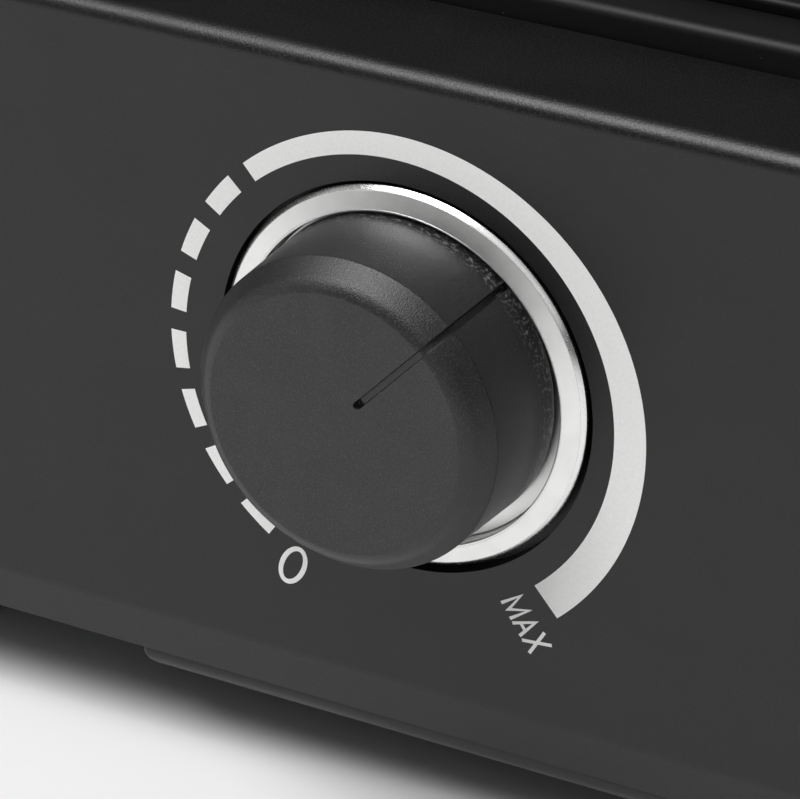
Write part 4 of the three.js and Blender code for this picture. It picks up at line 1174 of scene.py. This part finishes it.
class RACLETTE_OT_plate(bpy.types.Operator):
    """Makes the cast grill plate and its cooking ribs"""
    bl_idname = "raclette.plate"
    bl_label = "Grill plate"

    def execute(self, context):
        size = settings("plate")
        half_x = (PLATE_HIGH.x - PLATE_LOW.x) / 2
        half_y = (PLATE_HIGH.y - PLATE_LOW.y) / 2
        top = PLATE_HIGH.z
        seat = SHELL_TOP - settings("housing").seat_drop + CLEARANCE
        floor = top - size.floor_depth
        under = size.underside_inset
        wall_foot = size.rim_width + size.wall_lean
        section = fillet([
            (under + FLAT_START, PLATE_LOW.z, 0), (under, PLATE_LOW.z, 0.0012),
            (under, seat, 0.0004), (size.edge_radius, seat, 0.0004),
            (0, seat + 0.003, 0.003), (0, top, size.edge_radius),
            (size.rim_width, top, 0.0009), (wall_foot, floor, size.floor_fillet),
            (wall_foot + FLAT_START, floor, 0)])
        rings = []
        for inset, height in section:
            end_inset = inset
            if height < seat - WELD:
                end_inset = inset + (half_y - (PLATE_MIDDLE_Y - SHELL_HIGH.y) - under / 2)
            rings.append(rounded_rectangle(
                half_x - inset, half_y - end_inset, max(0.003, size.corner_radius - inset), height))
        plate = skin("grill_plate_casting", rings)
        plate.data.transform(Matrix.Translation((0, PLATE_MIDDLE_Y, 0)))
        smooth(plate, crease=40.0)
        handed_over(plate, "cast_coating", "plate", "cast_plate", "grill_plate")
        first = PLATE_LOW.y + size.rim_width + size.rib_end_margin
        middle = floor + size.rib_height / 2 - size.rib_sink
        points = [(0, first + place * size.rib_pitch, middle) for place in range(size.rib_count)]
        ribs = grown("grill_plate_ribs", rib_tree(), points, "cast_coating", **{
            "Length": 2 * (half_x - size.rim_width - size.rib_margin), "Foot Width": size.rib_foot,
            "Top Width": size.rib_top, "Height": size.rib_height, "Edge Radius": size.rib_edge})
        smooth(ribs, crease=40.0)
        handed_over(ribs, "cast_coating", "plate", "cast_plate")
        return {"FINISHED"}


# Pans


def pan_shell(name, middle, half_x, half_y, low, height):
    """Pressed tray with a rim that turns outwards, one closed body."""
    size = settings("pan")
    wall, rim, top = size.sheet, size.rim, low + height
    foot = rim + size.draft
    edge, floor = 0.0002, low + wall * 1.2
    section = fillet([
        (foot + FLAT_START, low, 0), (foot, low, size.floor_fillet), (rim, top - wall, 0.0008),
        (edge, top - wall, 0.0003), (edge, top, 0.0003), (rim + wall, top, 0.0013),
        (foot + wall, floor, size.floor_fillet * 0.8), (foot + wall + FLAT_START, floor, 0)])
    rings = [rounded_rectangle(half_x - inset, half_y - inset,
                               max(0.002, size.corner_radius - inset), z) for inset, z in section]
    pan = skin(name, rings)
    pan.data.transform(Matrix.Translation((middle.x, middle.y, 0)))
    return smooth(pan, crease=50.0)


def handle_body(name, low, high, outward):
    """Grip that swells towards its end, with a thumb rest and a slot for the tang."""
    size = settings("pan")
    span = high.x - low.x
    width = high.y - low.y
    tang_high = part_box(name.replace("handle_grip", "tang"))[1].z
    middle = tang_high - size.tang_sheet / 2
    power = 2 / size.handle_squareness
    # How far the far end rises, where the waist is, and the thumb rest's place and length
    rise, waist, rest_at, rest_length = 0.008, 0.4, 0.74, 0.13
    tall = (high.z - middle - rise) * 2
    # Caps: depth at the near and far end, and how much narrower and lower they end
    near_cap, far_cap, narrower, lower = 0.0022, 0.0042, 0.0042, 0.0036
    rings = []
    for station in range(GRIP_STATIONS + 1):
        share = (1 - math.cos(station / GRIP_STATIONS * math.pi)) / 2
        towards_waist = math.sin(min(share / waist, 1) * math.pi / 2)
        towards_end = (1 - math.cos(max(share - waist, 0) / (1 - waist) * math.pi)) / 2
        # Wide and high at the near end, less so at the waist and more so at the far end
        wide = (0.8 - 0.14 * towards_waist + 0.34 * towards_end) * width / 2
        high_half = (0.963 - 0.148 * towards_waist + 0.185 * towards_end) * tall / 2
        cap = 0.0
        for edge, depth in ((share * span, near_cap), ((1 - share) * span, far_cap)):
            if edge < depth:
                cap = max(cap, 1 - math.sqrt(max(0.0, 1 - (1 - edge / depth) ** 2)))
        wide -= cap * narrower
        high_half -= cap * lower
        centre = middle + rise * share ** 2
        dip = size.thumb_depth * math.exp(-((share - rest_at) / rest_length) ** 2)
        ring = []
        for side in range(SMALL_SEGMENTS):
            angle = side / SMALL_SEGMENTS * 2 * math.pi
            cos, sin = math.cos(angle), math.sin(angle)
            across = math.copysign(abs(cos) ** power, cos) * wide
            upward = math.copysign(abs(sin) ** power, sin) * high_half
            if sin > 0:
                upward -= dip * max(0.0, 1 - (across / (wide * 0.8)) ** 2) * abs(sin) ** power
            ring.append((share * span, across, centre + upward))
        rings.append(ring)
    grip = skin(name, rings)
    half, thick = size.tang_width / 2 + CLEARANCE, size.tang_sheet / 2 + CLEARANCE
    cut(grip, block("slot", (-SPARE, -half, middle - thick),
                    (size.tang_reach + CLEARANCE, half, middle + thick)))
    smooth(grip, crease=45.0)
    start = low.x if outward > 0 else high.x
    place = Matrix.Translation((start, (low.y + high.y) / 2, 0))
    if outward < 0:
        place = place @ Matrix.Rotation(math.pi, 4, "Z")
    grip.data.transform(place)
    return grip


class RACLETTE_OT_pans(bpy.types.Operator):
    """Makes the eight pans with their tangs, rivets and handles"""
    bl_idname = "raclette.pans"
    bl_label = "Pans"

    def execute(self, context):
        size = settings("pan")
        rivets = rivet_tree()
        for name in PAN_NAMES:
            body = "pan_" + name
            outward = 1 if name.startswith("right") else -1
            low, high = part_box(body)
            middle = (low + high) / 2
            pan = pan_shell(body + "_pressing", middle, (high.x - low.x) / 2,
                            (high.y - low.y) / 2, low.z, high.z - low.z)
            handed_over(pan, "pan_coating", body, "coated_steel", body)
            tang = softened("pan_tang_" + name, "pan_tang_" + name + "_strap", 0.0003)
            handed_over(tang, "bright_steel", body, "bare_steel", "pan_tang_" + name)
            tang_low, tang_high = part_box("pan_tang_" + name)
            wall_x = tang_low.x if outward > 0 else tang_high.x
            height = tang_low.z + size.rivet_level
            lean = Matrix.Rotation(outward * size.tang_slope, 4, "Y")
            heads = []
            for side in (-1, 1):
                outside = Vector((wall_x + outward * (size.tang_sheet + size.rivet_seat),
                                  middle.y + side * size.rivet_spacing / 2, height))
                heads.append(lean.inverted() @ outside)
            head = grown("pan_rivets_" + name, rivets, heads, "bright_steel",
                         Radius=size.rivet_radius, Height=size.rivet_height)
            head.data.transform(lean)
            smooth(head)
            handed_over(head, "bright_steel", body, "bare_steel")
            handle_low, handle_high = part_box("pan_handle_" + name)
            grip = handle_body("pan_handle_grip_" + name, handle_low, handle_high, outward)
            handed_over(grip, "grip_moulding", body, "handle_plastic", "pan_handle_" + name)
        return {"FINISHED"}


# Sheet steel, heater and inner pieces


def heater():
    """The bent tube, swept along its four runs and three half turns."""
    low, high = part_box("heating_element")
    radius = (high.z - low.z) / 2
    leg = high.x - radius
    spacing = 2 * leg / 3
    bend = spacing / 2
    middle_y = PLATE_MIDDLE_Y
    run = high.y - radius - bend - middle_y
    path = [Vector((-leg, low.y, 0))]
    for index, away in enumerate((1, -1, 1)):
        for step in range(BEND_STEPS + 1):
            angle = step / BEND_STEPS * math.pi
            x = -leg + index * spacing + bend - bend * math.cos(angle)
            path.append(Vector((x, middle_y + away * (run + bend * math.sin(angle)), 0)))
    path.append(Vector((leg, low.y, 0)))
    rings = []
    for index, point in enumerate(path):
        ahead = path[min(index + 1, len(path) - 1)] - path[max(index - 1, 0)]
        side = Vector((-ahead.y, ahead.x, 0)).normalized()
        ring = []
        for step in range(BEND_STEPS):
            angle = step / BEND_STEPS * 2 * math.pi
            upward = Vector((0, 0, math.sin(angle) * radius + (low.z + high.z) / 2))
            ring.append(tuple(point + side * math.cos(angle) * radius + upward))
        rings.append(ring)
    tube = skin("heating_element_tube", rings)
    smooth(tube, crease=50.0)
    handed_over(tube, "oxidised_sheath", "housing", "heater_sheath", "heating_element")


class RACLETTE_OT_inside(bpy.types.Operator):
    """Makes the deck, reflector, shields, brackets and heater, and finishes the inner pieces"""
    bl_idname = "raclette.inside"
    bl_label = "Deck, heater and inner pieces"

    def execute(self, context):
        for node, finish, slot_name in (
                ("pan_deck", "pan_coating", "coated_steel"),
                ("bottom_reflector", "rolled_steel", "bare_steel"),
                ("control_heat_shield", "rolled_steel", "bare_steel"),
                ("far_heat_shield", "rolled_steel", "bare_steel"),
                ("element_bracket_near", "bright_steel", "bare_steel"),
                ("element_bracket_far", "bright_steel", "bare_steel"),
                ("cord_gland", "black_rubber", "foot_rubber"),
                ("element_bush_left", "fired_ceramic", "insulator"),
                ("element_bush_right", "fired_ceramic", "insulator")):
            piece = softened(node, node + "_finished", 0.0002)
            handed_over(piece, finish, "housing", slot_name, node)
        heater()
        for nodes, finish in (
                (("element_terminal_left", "element_terminal_right", "thermostat_bracket",
                  "thermostat_screw_left", "thermostat_screw_right", "thermostat_shaft"),
                 "rolled_steel"),
                (("thermostat_body", "terminal_block"), "fired_ceramic"),
                (("lead_live", "lead_neutral", "lead_switched", "lead_earth"), "braided_sleeve")):
            for node in nodes:
                mesh = frame["nodes"][node].data
                mesh.materials.clear()
                mesh.materials.append(finishes()[finish])
        return {"FINISHED"}


# Stage


def lamp(name, place, target, size, power, turned=0.0):
    """Soft rectangular lamp that points at a target, turned by some degrees about its beam."""
    light = bpy.data.lights.new(name, "AREA")
    light.shape = "RECTANGLE"
    light.size, light.size_y = size
    light.energy = power
    holder = linked(name, light)
    holder.location = place
    aim = Vector(target) - Vector(place)
    holder.rotation_mode = "QUATERNION"
    roll = Quaternion((0, 0, 1), math.radians(turned))
    holder.rotation_quaternion = aim.to_track_quat("-Z", "Y") @ roll


def camera(stage):
    """Camera at the viewing angle of the reference, with a long lens."""
    data = bpy.data.cameras.new("camera")
    data.lens = stage.focal
    data.sensor_width = 36.0
    data.clip_start, data.clip_end = 0.01, 100.0
    holder = linked("camera", data)
    target = RING_CENTRE + Vector((-stage.target_left, 0, -stage.target_below))
    a, e = stage.azimuth, stage.elevation
    back = Vector((math.sin(a) * math.cos(e), -math.cos(a) * math.cos(e), math.sin(e)))
    holder.location = target + back * stage.distance
    holder.rotation_mode = "QUATERNION"
    level = (-back).to_track_quat("-Z", "Y")
    holder.rotation_quaternion = level @ Quaternion((0, 0, 1), stage.roll)
    bpy.context.scene.camera = holder


class RACLETTE_OT_stage(bpy.types.Operator):
    """Makes the pale floor, the soft lamps and the camera"""
    bl_idname = "raclette.stage"
    bl_label = "Stage"

    def execute(self, context):
        stage = settings("stage")
        half = stage.floor_size / 2
        corners = ((-half, -half), (half, -half), (half, half), (-half, half))
        floor = skin("floor", [[(x, y, z) for x, y in corners] for z in (-0.01, 0.0)])
        material, tree = shader("pale_floor", Roughness=0.9, Specular_IOR_Level=0.1)
        surfaced(material, shades(tree, stage.floor, 0.01, 0.5), None, None)
        floor.data.materials.append(material)
        scene = context.scene
        scene.world = bpy.data.worlds.new("studio")
        scene.world.use_nodes = True
        sky = scene.world.node_tree
        up = add(sky, "ShaderNodeSeparateXYZ", {
            "Vector": add(sky, "ShaderNodeTexCoord").outputs["Generated"]}).outputs["Z"]
        level = spread(sky, up, stage.horizon, stage.zenith, 0.6, 0.95)
        sky.links.new(level, sky.nodes["Background"].inputs["Strength"])
        sky.nodes["Background"].inputs["Color"].default_value = (1, 1, 1, 1)
        aim = (0, PANEL_Y, 0.05)
        lamp("front_softbox", (-0.46, -0.95, 1.90), aim, (1.2, 1.4), 45.0)
        lamp("right_reflector", (0.86, -1.33, 1.0), aim, (0.5, 1.6), 1.8, turned=38)
        lamp("left_reflector", (-1.25, -1.1, 0.55), aim, (1.1, 1.0), 1.3)
        lamp("back_card", (-1.0, 1.7, 1.0), aim, (1.8, 1.2), 0.2)
        lamp("back_softbox", (1.3, 1.4, 1.3), (0, 0, 0.05), (1.0, 1.0), 3.0)
        camera(stage)
        scene.view_settings.view_transform = "Standard"
        return {"FINISHED"}


class RACLETTE_PT_sidebar(bpy.types.Panel):
    """Lists the grill's pieces and their sizes"""
    bl_idname = "RACLETTE_PT_sidebar"
    bl_label = "Raclette grill"
    bl_space_type = "VIEW_3D"
    bl_region_type = "UI"
    bl_category = "Raclette grill"

    def draw(self, context):
        for operator in OPERATORS:
            self.layout.operator(operator.bl_idname)
        for name, group in GROUPS.items():
            box = self.layout.box()
            box.label(text=name.capitalize())
            for field in group.__annotations__:
                box.prop(settings(name), field)


GROUPS = {"housing": HousingSettings, "dial": DialSettings, "plate": PlateSettings,
          "pan": PanSettings, "finish": FinishSettings, "stage": StageSettings}
OPERATORS = (RACLETTE_OT_stage, RACLETTE_OT_housing, RACLETTE_OT_feet, RACLETTE_OT_knob,
             RACLETTE_OT_ring, RACLETTE_OT_scale, RACLETTE_OT_plate, RACLETTE_OT_pans,
             RACLETTE_OT_inside)


def register():
    for group in (*GROUPS.values(), *OPERATORS, RACLETTE_PT_sidebar):
        bpy.utils.register_class(group)
    for name, group in GROUPS.items():
        setattr(bpy.types.Scene, "raclette_" + name, bpy.props.PointerProperty(type=group))


def unregister():
    for name in GROUPS:
        delattr(bpy.types.Scene, "raclette_" + name)
    for group in (RACLETTE_PT_sidebar, *OPERATORS, *GROUPS.values()):
        bpy.utils.unregister_class(group)


def main():
    register()
    bpy.ops.raclette.stage()
    bpy.ops.raclette.housing()
    bpy.ops.raclette.feet()
    bpy.ops.raclette.knob()
    bpy.ops.raclette.ring()
    bpy.ops.raclette.scale()
    bpy.ops.raclette.plate()
    bpy.ops.raclette.pans()
    bpy.ops.raclette.inside()


if __name__ == "__main__":
    main()
